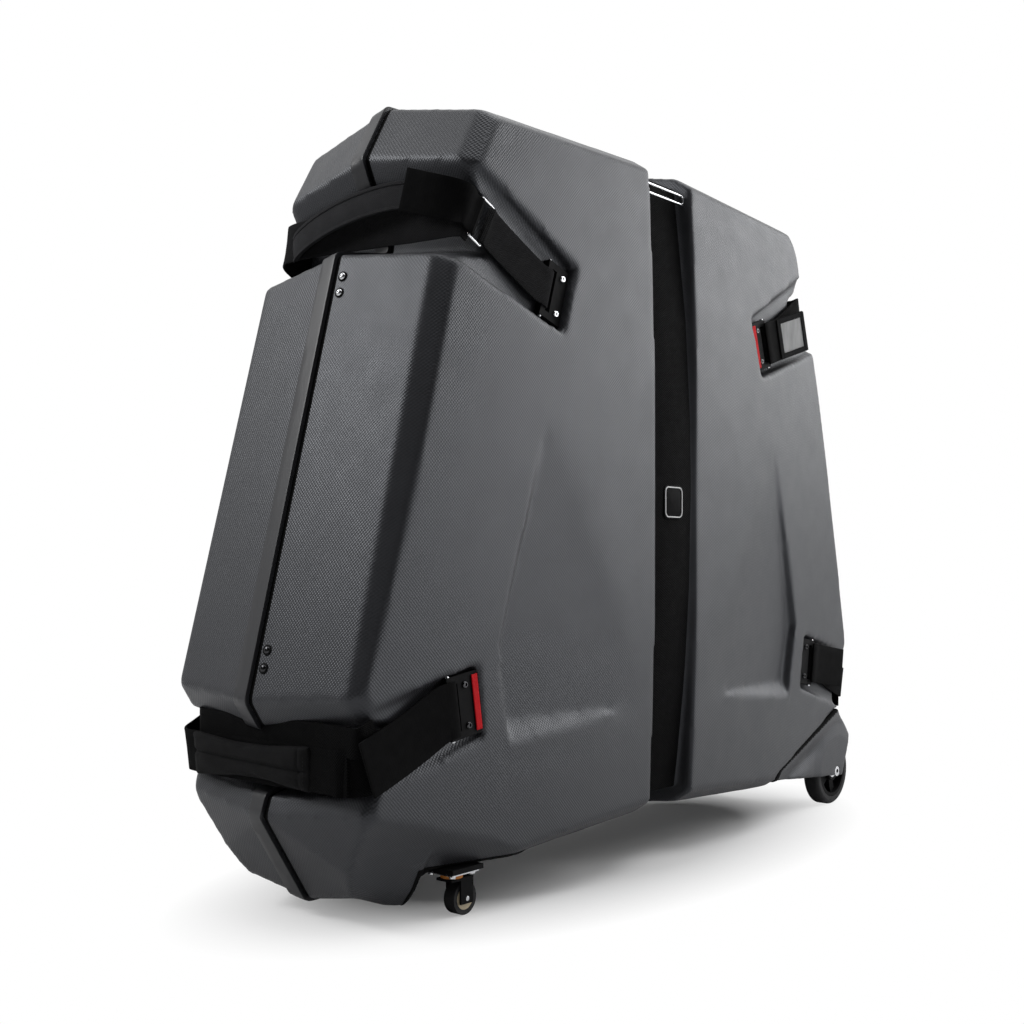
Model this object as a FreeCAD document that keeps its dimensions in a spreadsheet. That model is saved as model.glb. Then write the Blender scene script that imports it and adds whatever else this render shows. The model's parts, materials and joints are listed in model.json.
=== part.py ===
# Hard bike travel case: two moulded halves on casters and wheels, held shut by webbing straps.
# +X runs to the end with the large wheels, -Y is the near half, +Z is up, Z = 0 is the floor.
import FreeCAD, Part
import math
import os
from FreeCAD import Placement, Rotation, Vector

doc = FreeCAD.newDocument("BikeTravelCase")
sheet = doc.addObject("Spreadsheet::Sheet", "Sizes")

# Driving dimensions in millimetres
SIZES = {
    # Seam outline of one end, heights stacked up from the floor
    "case_half_length": 602.0,
    "ground_gap": 21.0,
    "chin_slope_height": 107.0,
    "chin_rim_height": 24.0,
    "lower_notch_height": 80.0,
    "panel_rim_height": 30.0,
    "panel_height": 531.0,
    "upper_notch_height": 96.0,
    "head_rim_height": 31.0,
    "head_slope_height": 73.0,
    "crown_rise": 17.0,
    # Seam outline of one end, set back from the end of the case
    "chin_low_setback": 89.0,
    "chin_foot_setback": 108.0,
    "rear_foot_fraction": 0.1,
    "chin_crease_setback": 22.0,
    "chin_top_setback": 30.0,
    "panel_rim_setback": 19.0,
    "panel_top_setback": 137.0,
    "head_crease_setback": 181.0,
    "head_under_setback": 195.0,
    "head_top_setback": 221.0,
    "upper_notch_depth": 31.0,
    "lower_notch_depth": 43.0,
    "notch_bevel": 14.0,
    "lower_notch_bevel": 7.0,
    "belly_half_length": 276.0,
    "belly_rise": 23.0,
    "arch_rise": 37.0,
    # How the outline draws in from the seam to the corner and on to the side
    "corner_y": 148.0,
    "corner_length_ratio": 0.976,
    "corner_top_ratio": 0.935,
    "corner_low_ratio": 0.96,
    "corner_chin_setback": 52.0,
    "corner_chin_rise": 12.0,
    "bevel_run": 54.0,
    "bevel_ratio": 0.922,
    "side_y": 187.0,
    "side_land": 2.0,
    "side_crown_radius": 8200.0,
    "wall": 3.0,
    # Seam
    "seam_gap": 7.0,
    "seal_inset": 1.2,
    "seal_gap": 0.4,
    "lip_width": 24.0,
    "lip_thick": 4.0,
    # Side pockets for the strap brackets
    "pocket_floor_y": 160.0,
    "upper_pocket_length": 188.0,
    "upper_pocket_drop": 100.0,
    "upper_pocket_end_lean": 27.0,
    "upper_pocket_end_height": 87.0,
    "lower_pocket_length": 174.0,
    "lower_pocket_climb": 43.0,
    "lower_pocket_end_lean": 13.0,
    "lower_pocket_end_height": 84.0,
    # Middle channel and strap
    "channel_half_width": 50.0,
    "channel_depth": 25.0,
    "channel_side_depth": 10.0,
    "mid_strap_width": 90.0,
    # Three-sided side recess
    "recess_top_x": 287.0,
    "recess_top_z": 596.0,
    "recess_outer_x": 366.0,
    "recess_outer_z": 321.0,
    "recess_foot_x": 348.0,
    "recess_foot_z": 223.0,
    "recess_inner_x": 75.0,
    "recess_depth": 13.0,
    # Facet under the chin
    "facet_top_y": 152.0,
    "facet_top_z": 142.0,
    "facet_low_y": 98.0,
    "facet_end_y": 183.0,
    "facet_end_z": 75.0,
    "rear_facet_top_y": 163.0,
    "rear_facet_top_z": 150.0,
    "rear_facet_low_y": 143.0,
    "rear_facet_end_y": 169.0,
    "rear_facet_end_z": 72.0,
    # Strap brackets
    "bracket_length": 40.0,
    "bracket_width": 74.0,
    "bracket_thick": 10.0,
    "bracket_setback": 1.0,
    "slot_length": 9.0,
    "slot_width": 56.0,
    "slot_bar": 8.0,
    "screw_head_dia": 9.0,
    "screw_head_height": 3.0,
    "screw_dia": 4.0,
    "screw_hole_gap": 0.2,
    "screw_inset": 11.0,
    "screw_spread": 48.0,
    # Webbing
    "strap_width": 50.0,
    "strap_thick": 3.0,
    "strap_gap": 0.4,
    "upper_strap_stand": 50.0,
    "upper_strap_lift": 4.7,
    "lower_strap_stand": 42.0,
    "strap_start_lap": 12.0,
    "strap_turn_fraction": 0.8,
    "strap_end_y": 125.0,
    "upper_flap_end_y": 85.0,
    "lower_flap_end_y": 112.0,
    # Padded handles
    "handle_length": 208.0,
    "handle_height": 58.0,
    "handle_thick": 22.0,
    "handle_round": 8.0,
    "handle_shift_y": 24.0,
    # Rings, window and tabs
    "ring_bar": 4.0,
    "ring_length": 16.0,
    "front_ring_fraction": 0.88,
    "mid_ring_drop": 14.0,
    "window_along": 47.0,
    "window_length": 44.0,
    "window_width": 42.0,
    "window_thick": 2.0,
    "red_tab_length": 10.0,
    "red_tab_width": 68.0,
    "red_tab_thick": 1.6,
    # Alignment tabs and rivets
    "tab_width": 44.0,
    "tab_thick": 2.0,
    "tab_near_reach": 30.0,
    "tab_far_reach": 22.0,
    "tab_gap": 0.6,
    "rivet_dia": 4.0,
    "rivet_tail": 2.4,
    "rivet_tab_gap": 0.4,
    "rivet_head_dia": 10.0,
    "rivet_head_height": 2.5,
    "rivet_y": 16.0,
    "rivet_spread": 21.0,
    "tab_upper_drop": 40.0,
    "tab_lower_rise": 48.0,
    # Casters
    "caster_x": 400.0,
    "caster_y": 128.0,
    "caster_ceiling_z": 62.0,
    "caster_bay_front": 59.0,
    "caster_bay_slope": 22.0,
    "caster_bay_rear": 90.0,
    "caster_bay_inner_y": 84.0,
    "caster_wheel_dia": 40.0,
    "caster_wheel_width": 18.0,
    "caster_core_dia": 28.0,
    "caster_tyre_round": 3.0,
    "caster_trail": 14.0,
    "caster_axle_dia": 6.0,
    "fork_leg_thick": 2.5,
    "fork_leg_length": 22.0,
    "fork_side_gap": 1.0,
    "fork_top_gap": 3.0,
    "fork_crown_thick": 3.0,
    "kingpin_dia": 10.0,
    "kingpin_end_gap": 1.0,
    "dust_ring_dia": 27.0,
    "dust_ring_gap": 0.3,
    "plate_length": 46.0,
    "plate_thick": 3.0,
    "housing_thick": 6.0,
    "housing_margin": 4.0,
    "bolt_head_dia": 8.0,
    "bolt_head_height": 3.0,
    "bolt_inset": 6.0,
    "running_gap": 0.05,
    "bond_gap": 0.05,
    # Large wheels and fenders
    "rear_wheel_x": 548.0,
    "rear_wheel_y": 138.0,
    "rear_wheel_dia": 116.0,
    "rear_wheel_width": 28.0,
    "rear_tyre_round": 7.0,
    "rear_rim_dia": 90.0,
    "rear_rim_thick": 6.0,
    "rear_hub_dia": 34.0,
    "rear_spoke_width": 14.0,
    "rear_axle_dia": 10.0,
    "bearing_dia": 24.0,
    "bearing_width": 7.0,
    "axle_head_dia": 18.0,
    "axle_head_height": 2.5,
    "wheel_side_gap": 2.0,
    "wheel_round_gap": 6.0,
    "fender_wall": 4.0,
    "fender_inner_y": 118.0,
    "fender_gap": 0.4,
    "fender_tip_x": 317.0,
    "fender_tip_z": 68.0,
    "fender_nose_height": 17.0,
    "fender_nose_length": 16.0,
    "fender_top_setback": 6.0,
    "fender_top_z": 167.0,
    "fender_rear_reach": 53.0,
    "fender_rear_z": 117.0,
    "fender_heel_reach": 21.0,
    "fender_heel_z": 48.0,
    "fender_bulge": 5.0,
    # Foam lining
    "foam_edge_gap": 8.3,
    "foam_half_height": 235.0,
    "foam_thick": 10.0,
    "foam_gap": 0.4,
}

for row, (alias, value) in enumerate(SIZES.items(), start=1):
    sheet.set("A%d" % row, alias)
    sheet.set("B%d" % row, "%g" % value)
    sheet.setAlias("B%d" % row, alias)
doc.recompute()


def size(alias):
    return float(getattr(sheet, alias))


# Reach of the tools that cut through a whole side, far larger than the case
FAR_OUT = 4.0 * size("side_y")
NEAR, FAR = -1, 1
FRONT, REAR = -1, 1


def seam_points():
    """Outline of one end at the seam, from the top down: name, distance from the middle, height."""
    end = size("case_half_length")
    low = size("ground_gap")
    chin_crease = low + size("chin_slope_height")
    chin_top = chin_crease + size("chin_rim_height")
    panel_under = chin_top + size("lower_notch_height")
    panel_low = panel_under + size("panel_rim_height")
    panel_top = panel_low + size("panel_height")
    head_under = panel_top + size("upper_notch_height")
    head_crease = head_under + size("head_rim_height")
    head_top = head_crease + size("head_slope_height")
    upper_floor = end - size("head_under_setback") - size("upper_notch_depth")
    lower_floor = end - size("panel_rim_setback") - size("lower_notch_depth")
    bevel = size("notch_bevel")
    low_bevel = size("lower_notch_bevel")
    return {
        "crown": (0.0, head_top + size("crown_rise")),
        "head_top": (end - size("head_top_setback"), head_top),
        "head_crease": (end - size("head_crease_setback"), head_crease),
        "head_under": (end - size("head_under_setback"), head_under),
        "upper_floor_top": (upper_floor, head_under - bevel),
        "upper_floor_low": (upper_floor, panel_top + bevel),
        "panel_top": (end - size("panel_top_setback"), panel_top),
        "panel_low": (end, panel_low),
        "panel_under": (end - size("panel_rim_setback"), panel_under),
        "lower_floor_top": (lower_floor, panel_under - low_bevel),
        "lower_floor_low": (lower_floor, chin_top + low_bevel),
        "chin_top": (end - size("chin_top_setback"), chin_top),
        "chin_crease": (end - size("chin_crease_setback"), chin_crease),
        "chin_low": (end - size("chin_low_setback"), low),
        "chin_foot": (end - size("chin_foot_setback"), low),
        "belly": (size("belly_half_length"), low + size("belly_rise")),
        "arch": (0.0, low + size("arch_rise")),
    }


SEAM = seam_points()
MIDDLE_Z = (SEAM["crown"][1] + size("ground_gap")) / 2


def drawn_in(points, length_ratio, top_ratio, low_ratio, floors_too):
    """The same outline closer to the middle. The notch floors can stay where they are along X."""
    result = {}
    for name, (x, z) in points.items():
        ratio = top_ratio if z > MIDDLE_Z else low_ratio
        keep = "floor" in name and not floors_too
        result[name] = (x if keep else x * length_ratio, MIDDLE_Z + (z - MIDDLE_Z) * ratio)
    return result


CORNER = drawn_in(SEAM, size("corner_length_ratio"), size("corner_top_ratio"), size("corner_low_ratio"), False)
CORNER["chin_low"] = (CORNER["panel_low"][0] - size("corner_chin_setback"),
                      CORNER["chin_low"][1] + size("corner_chin_rise"))
BEVEL = drawn_in(CORNER, size("bevel_ratio"), size("bevel_ratio"), size("bevel_ratio"), True)


def full_outline(points):
    """Both ends of the case as one closed list of (x, z). At the rear, no foot stands out under the chin."""
    (chin_x, chin_z), (belly_x, belly_z) = points["chin_low"], points["belly"]
    share = size("rear_foot_fraction")
    rear = dict(points)
    rear["chin_foot"] = (chin_x + (belly_x - chin_x) * share, chin_z + (belly_z - chin_z) * share)
    front_end = [(-x, z) for x, z in points.values()]
    rear_end = list(rear.values())[1:-1]
    return front_end + rear_end[::-1]


def inset_outline(points, inset):
    """Moves every side of a closed (x, z) outline inwards by the inset, or outwards where it is negative."""
    count = len(points)
    turn = 0.0
    for i in range(count):
        turn += points[i][0] * points[(i + 1) % count][1] - points[(i + 1) % count][0] * points[i][1]
    side = 1.0 if turn > 0 else -1.0
    normals = []
    for i in range(count):
        dx = points[(i + 1) % count][0] - points[i][0]
        dz = points[(i + 1) % count][1] - points[i][1]
        length = math.hypot(dx, dz)
        normals.append((-side * dz / length, side * dx / length))
    moved = []
    for i in range(count):
        ax, az = normals[i - 1]
        bx, bz = normals[i]
        reach = inset / (1.0 + ax * bx + az * bz)
        moved.append((points[i][0] + reach * (ax + bx), points[i][1] + reach * (az + bz)))
    return moved


def ring(points, y, inset):
    return [Vector(x, y, z) for x, z in inset_outline(full_outline(points), inset)]


def flat_face(corners):
    return Part.Face(Part.makePolygon(corners + [corners[0]]))


def skinned(rings):
    """A solid whose sides join rings of as many points, with flat faces only."""
    faces = [flat_face(rings[0]), flat_face(rings[-1])]
    count = len(rings[0])
    for lower, upper in zip(rings, rings[1:]):
        for i in range(count):
            j = (i + 1) % count
            a, b, c, d = lower[i], lower[j], upper[j], upper[i]
            normal = (b - a).cross(d - a)
            if abs(normal.normalize().dot(c - a)) < 1e-6:
                faces.append(flat_face([a, b, c, d]))
            else:
                faces.append(flat_face([a, b, c]))
                faces.append(flat_face([a, c, d]))
    solid = Part.makeSolid(Part.makeShell(faces))
    if solid.Volume < 0:
        solid.reverse()
    return solid


def prism(points, y_from, y_to):
    """An (x, z) outline as a solid between two depths."""
    face = flat_face([Vector(x, y_from, z) for x, z in points])
    return face.extrude(Vector(0, y_to - y_from, 0))


def outside_of(point, outward):
    """A block whose face lies on the plane through the point, on its outward side."""
    reach = FAR_OUT * 3
    block = Part.makeBox(reach, reach, reach, Vector(-reach / 2, -reach / 2, 0))
    block.Placement = Placement(point, Rotation(Vector(0, 0, 1), outward))
    return block


def slab(y_from, y_to):
    """Everything between two depths."""
    reach = 2 * FAR_OUT
    return Part.makeBox(2 * reach, y_to - y_from, 2 * reach, Vector(-reach, y_from, -reach / 2))


def side_depth(x, z):
    """Depth of the crowned side face at a place on it."""
    radius = size("side_crown_radius")
    return size("side_y") - (radius - math.sqrt(radius ** 2 - x ** 2 - (z - MIDDLE_Z) ** 2))


def pocket_outline(level, end):
    """Upper or lower bracket pocket as (x, z): top start, end top, end low, low start, and the open mouth."""
    if level == "upper":
        start = CORNER["head_crease"]
        low_start = CORNER["panel_top"]
        end_top = (start[0] - size("upper_pocket_length"), start[1] - size("upper_pocket_drop"))
        end_low = (end_top[0] + size("upper_pocket_end_lean"), end_top[1] - size("upper_pocket_end_height"))
    else:
        rim, low_rim = CORNER["panel_under"], CORNER["panel_low"]
        start = ((rim[0] + low_rim[0]) / 2, (rim[1] + low_rim[1]) / 2)
        low_start = CORNER["chin_top"]
        end_top = (start[0] - size("lower_pocket_length"), start[1] + size("lower_pocket_climb"))
        end_low = (end_top[0] - size("lower_pocket_end_lean"), end_top[1] - size("lower_pocket_end_height"))
    mouth = max(start[0], low_start[0]) + size("strap_width")
    outline = [start, end_top, end_low, low_start, (mouth, low_start[1]), (mouth, start[1])]
    return [(end * x, z) for x, z in outline]


def channel_core(inset, width):
    """What is left inside the middle channel of the near half, its floor moved in by the inset."""
    depth = size("channel_depth") + inset
    edge_y = size("corner_y") - inset
    side_y = size("side_y") - size("channel_side_depth") - inset
    top = Vector(0, 0, SEAM["crown"][1] - depth)
    top_edge = Vector(0, -edge_y, CORNER["crown"][1] - depth)
    low_edge = Vector(0, -edge_y, CORNER["arch"][1] + depth)
    low = Vector(0, 0, SEAM["arch"][1] + depth)
    beyond = Vector(0, size("lip_width"), 0)
    side = Part.Arc(top_edge, Vector(0, -side_y, MIDDLE_Z), low_edge).toShape()
    rest = Part.makePolygon([low_edge, low, low + beyond, top + beyond, top, top_edge])
    face = Part.Face(Part.Wire([side] + rest.Edges))
    face.translate(Vector(-width / 2, 0, 0))
    return face.extrude(Vector(width, 0, 0))


def channel_cutter(inset):
    half = size("channel_half_width") + inset
    reach = SEAM["crown"][1] + FAR_OUT
    block = Part.makeBox(2 * half, FAR_OUT, reach, Vector(-half, -FAR_OUT + size("seam_gap"), -FAR_OUT / 2))
    return block.cut(channel_core(inset, 4 * half))


def recess_cutter(inset, end):
    """Three-sided recess: deepest at its foot, running out to nothing at its top and inner points."""
    top = (size("recess_top_x"), size("recess_top_z"))
    outer = (size("recess_outer_x"), size("recess_outer_z"))
    foot = (size("recess_foot_x"), size("recess_foot_z"))
    inner = (size("recess_inner_x"), size("recess_foot_z"))
    outline = [(end * x, z) for x, z in (top, outer, foot, inner)]
    block = prism(inset_outline(outline, -inset), -FAR_OUT, 0)
    on_top = Vector(end * top[0], -side_depth(*top), top[1])
    on_inner = Vector(end * inner[0], -side_depth(*inner), inner[1])
    on_foot = Vector(end * foot[0], size("recess_depth") - side_depth(*foot), foot[1])
    outward = (on_inner - on_top).cross(on_foot - on_top).normalize()
    if outward.y > 0:
        outward = -outward
    return block.common(outside_of(on_top - outward * inset, outward))


def facet_cutter(inset, end):
    """The slanted facet under the chin, which dies out towards the middle."""
    name = "facet" if end == FRONT else "rear_facet"
    upper = Vector(end * CORNER["panel_low"][0], -size(name + "_top_y"), size(name + "_top_z"))
    lower = Vector(end * CORNER["chin_low"][0], -size(name + "_low_y"), CORNER["chin_low"][1])
    dying = Vector(end * SEAM["belly"][0], -size(name + "_end_y"), size(name + "_end_z"))
    outward = (lower - upper).cross(dying - upper).normalize()
    if outward.z > 0:
        outward = -outward
    return outside_of(upper - outward * inset, outward)


def caster_bay_cutter(inset):
    front = size("caster_x") + size("caster_bay_front")
    slope = size("caster_bay_slope")
    rear = size("caster_x") - size("caster_bay_rear")
    ceiling = size("caster_ceiling_z")
    outline = [(-front, -FAR_OUT), (-front, ceiling - slope), (-front + slope, ceiling), (-rear, ceiling),
               (-rear, -FAR_OUT)]
    return prism(inset_outline(outline, -inset), -FAR_OUT, inset - size("caster_bay_inner_y"))


def fender_points():
    axle_x = size("rear_wheel_x")
    tip = (size("fender_tip_x"), size("fender_tip_z"))
    return {
        "tip": tip,
        "nose": (tip[0] + size("fender_nose_length"), tip[1] + size("fender_nose_height")),
        "top": (axle_x - size("fender_top_setback"), size("fender_top_z")),
        "rear": (axle_x + size("fender_rear_reach"), size("fender_rear_z")),
        "heel": (axle_x + size("fender_heel_reach"), size("fender_heel_z")),
    }


FENDER = fender_points()


def fender_bay_cutter(inset):
    past_end = size("case_half_length") + size("strap_width")
    tip, nose, top = FENDER["tip"], FENDER["nose"], FENDER["top"]
    outline = [tip, nose, top, (past_end, top[1]), (past_end, -FAR_OUT), (tip[0], -FAR_OUT)]
    grown = inset_outline(outline, -inset - size("fender_gap"))
    return prism(grown, -FAR_OUT, inset + size("fender_gap") - size("fender_inner_y"))


def end_form(inset):
    """The near half with its middle channel, before the side is crowned and its pockets are cut."""
    lap = size("lip_width")
    bevel_y = -(size("corner_y") + size("bevel_run"))
    rings = [ring(SEAM, lap, inset), ring(SEAM, 0.0, inset), ring(CORNER, -size("corner_y"), inset),
             ring(BEVEL, bevel_y, inset)]
    return skinned(rings).cut(channel_cutter(inset))


def half_form(inset):
    """The whole outer form of the near half, moved in by the inset."""
    radius = size("side_crown_radius")
    crown = Part.makeSphere(radius - inset, Vector(0, radius - size("side_y"), MIDDLE_Z))
    land_y = size("side_y") - size("side_land") - inset
    form = end_form(inset).common(crown).common(slab(-land_y, FAR_OUT))
    tools = [caster_bay_cutter(inset), fender_bay_cutter(inset)]
    for end in (FRONT, REAR):
        tools.append(recess_cutter(inset, end))
        tools.append(facet_cutter(inset, end))
        for level in ("upper", "lower"):
            outline = inset_outline(pocket_outline(level, end), -inset)
            tools.append(prism(outline, -FAR_OUT, inset - size("pocket_floor_y")))
    return form.cut(tools)


MIRROR_BASE = Vector(0, 0, 0)
MIRROR_NORMAL = Vector(0, 1, 0)
nodes = {}


def keep(label, feature):
    feature.Label = label
    nodes[label] = feature
    return feature


def keep_shape(label, shape):
    """A sub-part that only Part's own functions can make."""
    feature = doc.addObject("Part::Feature", label)
    feature.Shape = shape
    return keep(label, feature)


def bind(feature, **expressions):
    for name, expression in expressions.items():
        feature.setExpression(name, expression)


def box(name, length, width, height, placement):
    feature = doc.addObject("Part::Box", name)
    bind(feature, Length=length, Width=width, Height=height)
    feature.Placement = placement
    return feature


def cylinder(name, radius, height, placement):
    feature = doc.addObject("Part::Cylinder", name)
    bind(feature, Radius=radius, Height=height)
    feature.Placement = placement
    return feature


def cut(name, base, tool):
    feature = doc.addObject("Part::Cut", name)
    feature.Base = base
    feature.Tool = tool
    return feature


def fuse(name, shapes):
    feature = doc.addObject("Part::MultiFuse", name)
    feature.Shapes = shapes
    return feature


def group(name, shapes):
    feature = doc.addObject("Part::Compound", name)
    feature.Links = shapes
    return feature


def at(x, y, z):
    return Placement(Vector(x, y, z), Rotation())


# A cylinder turned to run along +Y
ALONG_Y = Rotation(Vector(1, 0, 0), -90)


def along_y(x, y, z):
    return Placement(Vector(x, y, z), ALONG_Y)


def mirrored(shape):
    return shape.mirror(MIRROR_BASE, MIRROR_NORMAL)


# Shells, lip and seal
raw_half = half_form(0.0).cut(half_form(size("wall")))
inner_end_form = end_form(size("wall"))
outer_end_form = end_form(0.0)


def face_frame(end, along):
    """Place and outward direction on the seam edge of an end panel, at a height above the panel's foot."""
    foot = Vector(end * SEAM["panel_low"][0], 0, SEAM["panel_low"][1])
    head = Vector(end * SEAM["panel_top"][0], 0, SEAM["panel_top"][1])
    corner = Vector(end * CORNER["panel_low"][0], -size("corner_y"), CORNER["panel_low"][1])
    up = (head - foot).normalize()
    outward = up.cross(corner - foot).normalize()
    if outward.x * end < 0:
        outward = -outward
    place = foot + up * (along / up.z)
    return place, up, outward


def rivet_places():
    """Each rivet's seat on the near half's panel, and the way it points."""
    places = []
    for end in (FRONT, REAR):
        for along in (size("tab_lower_rise"), size("panel_height") - size("tab_upper_drop")):
            place, up, outward = face_frame(end, along)
            for step in (-0.5, 0.5):
                seat = place + up * (step * size("rivet_spread"))
                seat.y = -size("rivet_y")
                slope = outward.y / outward.x
                seat.x += size("rivet_y") * slope
                places.append((seat, outward))
    return places


RIVETS = rivet_places()


def drill(shape, diameter):
    reach = size("strap_width")
    for seat, outward in RIVETS:
        hole = Part.makeCylinder(diameter / 2, 2 * reach, seat - outward * reach, outward)
        shape = shape.cut(hole)
    return shape


near_shell = raw_half.common(slab(-FAR_OUT, -size("seam_gap")))
near_shell = drill(near_shell, size("rivet_dia") + 2 * size("screw_hole_gap"))
keep_shape("near_shell", near_shell)
keep_shape("far_shell", mirrored(raw_half.common(slab(-FAR_OUT, 0.0))))

lip = end_form(-size("lip_thick")).cut(outer_end_form).common(slab(-size("lip_width"), 0.0))
lip = lip.cut(channel_cutter(0.0))
keep_shape("seam_lip", mirrored(lip))

seal_slab = slab(size("seal_gap") - size("seam_gap"), 0.0)
keep_shape("rim_seal", end_form(size("seal_inset")).cut(inner_end_form).common(seal_slab))


# Alignment tabs and rivets of the near half
def tab_shape(end, along):
    """A straight plate inside the end panel, reaching across the seam."""
    place, up = face_frame(end, along)[:2]
    flat_out = Vector(-up.z, 0, up.x)
    if flat_out.x * end < 0:
        flat_out = -flat_out
    draw_in = (SEAM["panel_low"][0] - CORNER["panel_low"][0]) / size("corner_y")
    inset = size("wall") + size("tab_gap") + draw_in * size("tab_near_reach")
    length = size("tab_near_reach") + size("tab_far_reach")
    plate = Part.makeBox(size("tab_width"), length, size("tab_thick"))
    plate.translate(Vector(-size("tab_width") / 2, -size("tab_near_reach"), -size("tab_thick")))
    across = Vector(0, 1, 0).cross(flat_out)
    turn = Rotation(across, Vector(0, 1, 0), flat_out, "XZY")
    plate.Placement = Placement(place - flat_out * inset, turn).multiply(plate.Placement)
    return plate


tab_plates = []
for end in (FRONT, REAR):
    for along in (size("tab_lower_rise"), size("panel_height") - size("tab_upper_drop")):
        tab_plates.append(tab_shape(end, along))
drilled_tabs = [drill(plate, size("rivet_dia") + 2 * size("rivet_tab_gap")) for plate in tab_plates]
keep_shape("alignment_tabs", Part.makeCompound(drilled_tabs))


def rivet_shape(seat, outward):
    """Round head on the panel, shank through the wall and the tab behind it."""
    head_seat = seat + outward * size("rivet_tab_gap")
    head = Part.makeCylinder(size("rivet_head_dia") / 2, size("rivet_head_height"), head_seat, outward)
    depth = size("wall") + size("tab_thick") + size("rivet_tail")
    shank = Part.makeCylinder(size("rivet_dia") / 2, depth, head_seat, -outward)
    return head.fuse(shank)


keep_shape("tab_rivets", Part.makeCompound([rivet_shape(seat, outward) for seat, outward in RIVETS]))


# Strap brackets. The tabbed ones carry a red pull tab on a longer plate.
TABBED = (("lower", FRONT, NEAR), ("upper", REAR, NEAR))


class BracketFrame:
    """Where a bracket stands: its pocket's end, the way to the case end, and the way up along its edge."""

    def __init__(self, level, end, side):
        end_top, end_low = pocket_outline(level, end)[1:3]
        floor = side * size("pocket_floor_y")
        top = Vector(end_top[0], floor, end_top[1])
        low = Vector(end_low[0], floor, end_low[1])
        self.side = side
        self.up = (top - low).normalize()
        self.out = Vector(0, side, 0)
        self.along = Vector(self.up.z * end, 0, -self.up.x * end)
        self.middle = (top + low) * 0.5
        tabbed = (level, end, side) in TABBED
        self.tab_room = size("red_tab_length") + size("strap_gap") if tabbed else 0.0
        self.screw_along = size("bracket_setback") + self.tab_room + size("screw_inset")
        self.edge = size("bracket_setback") + self.tab_room + size("bracket_length")

    def point(self, along, up, out):
        return self.middle + self.along * along + self.up * up + self.out * out

    def placement(self, along, up, out):
        """Frame whose X runs along the strap and Z points out of the pocket."""
        across = self.out.cross(self.along)
        turn = Rotation(self.along, across, self.out, "XZY")
        return Placement(self.point(along, up, out), turn)

    def lower_edge(self, along, width, out):
        """Corner of a box of that width, centred on the strap's line."""
        across = self.out.cross(self.along)
        sign = 1.0 if across.dot(self.up) > 0 else -1.0
        return self.placement(along, -sign * width / 2, out)


ENDS = {"front": FRONT, "rear": REAR}
SIDES = {"near": NEAR, "far": FAR}


def make_bracket(label, frame):
    slot_along = frame.edge - size("slot_bar") - size("slot_length")
    plate = box(label + "_plate", "Sizes.bracket_length + %g" % frame.tab_room, "Sizes.bracket_width",
                "Sizes.bracket_thick", frame.lower_edge(size("bracket_setback"), size("bracket_width"), 0))
    slot = box(label + "_slot", "Sizes.slot_length", "Sizes.slot_width", "2 * Sizes.bracket_thick",
               frame.lower_edge(slot_along, size("slot_width"), -size("bracket_thick") / 2))
    holes = [slot]
    for number, step in enumerate((-0.5, 0.5)):
        hole = cylinder("%s_hole_%d" % (label, number), "Sizes.screw_dia / 2 + Sizes.screw_hole_gap",
                        "2 * Sizes.bracket_thick",
                        frame.placement(frame.screw_along, step * size("screw_spread"), -size("bracket_thick") / 2))
        holes.append(hole)
    keep(label, cut(label, plate, fuse(label + "_openings", holes)))


def make_screws(label, frames):
    screws = []
    for frame in frames:
        for step in (-0.5, 0.5):
            name = "%s_%d" % (label, len(screws))
            up = step * size("screw_spread")
            head = cylinder(name + "_head", "Sizes.screw_head_dia / 2", "Sizes.screw_head_height",
                            frame.placement(frame.screw_along, up, size("bracket_thick")))
            shank = cylinder(name + "_shank", "Sizes.screw_dia / 2", "Sizes.bracket_thick",
                             frame.placement(frame.screw_along, up, 0))
            screws.append(fuse(name, [head, shank]))
    keep(label, group(label, screws))


frames = {}
for side_name, side in SIDES.items():
    for end_name, end in ENDS.items():
        for level in ("upper", "lower"):
            frame = BracketFrame(level, end, side)
            frames[side_name, end_name, level] = frame
            make_bracket("%s_%s_%s_bracket" % (side_name, end_name, level), frame)
    side_frames = [frame for key, frame in frames.items() if key[0] == side_name]
    make_screws(side_name + "_bracket_screws", side_frames)


# Webbing
def band(stations, width, thick):
    """A flat strap through stations of (centre, way up), thickness square to its run."""
    wires = []
    for i, (centre, up) in enumerate(stations):
        before = stations[max(i - 1, 0)][0]
        after = stations[min(i + 1, len(stations) - 1)][0]
        run = (after - before).normalize()
        rise = (up - run * up.dot(run)).normalize()
        out = run.cross(rise)
        corners = []
        for w, t in ((-0.5, -0.5), (0.5, -0.5), (0.5, 0.5), (-0.5, 0.5)):
            corners.append(centre + rise * (w * width) + out * (t * thick))
        wires.append(Part.makePolygon(corners + [corners[0]]))
    return Part.makeLoft(wires, True, True)


UPRIGHT = Vector(0, 0, 1)
STRAP_OUT = size("bracket_thick") - size("strap_thick") / 2


def strap_line(level):
    """Distance from the middle and height of a strap's run across an end."""
    if level == "upper":
        floor = SEAM["upper_floor_low"][0]
        top, low = CORNER["head_under"][1], SEAM["panel_top"][1]
        return floor + size("upper_strap_stand"), (top + low) / 2 + size("upper_strap_lift")
    floor = SEAM["lower_floor_low"][0]
    top, low = SEAM["panel_under"][1], SEAM["chin_top"][1]
    return floor + size("lower_strap_stand"), (top + low) / 2


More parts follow.
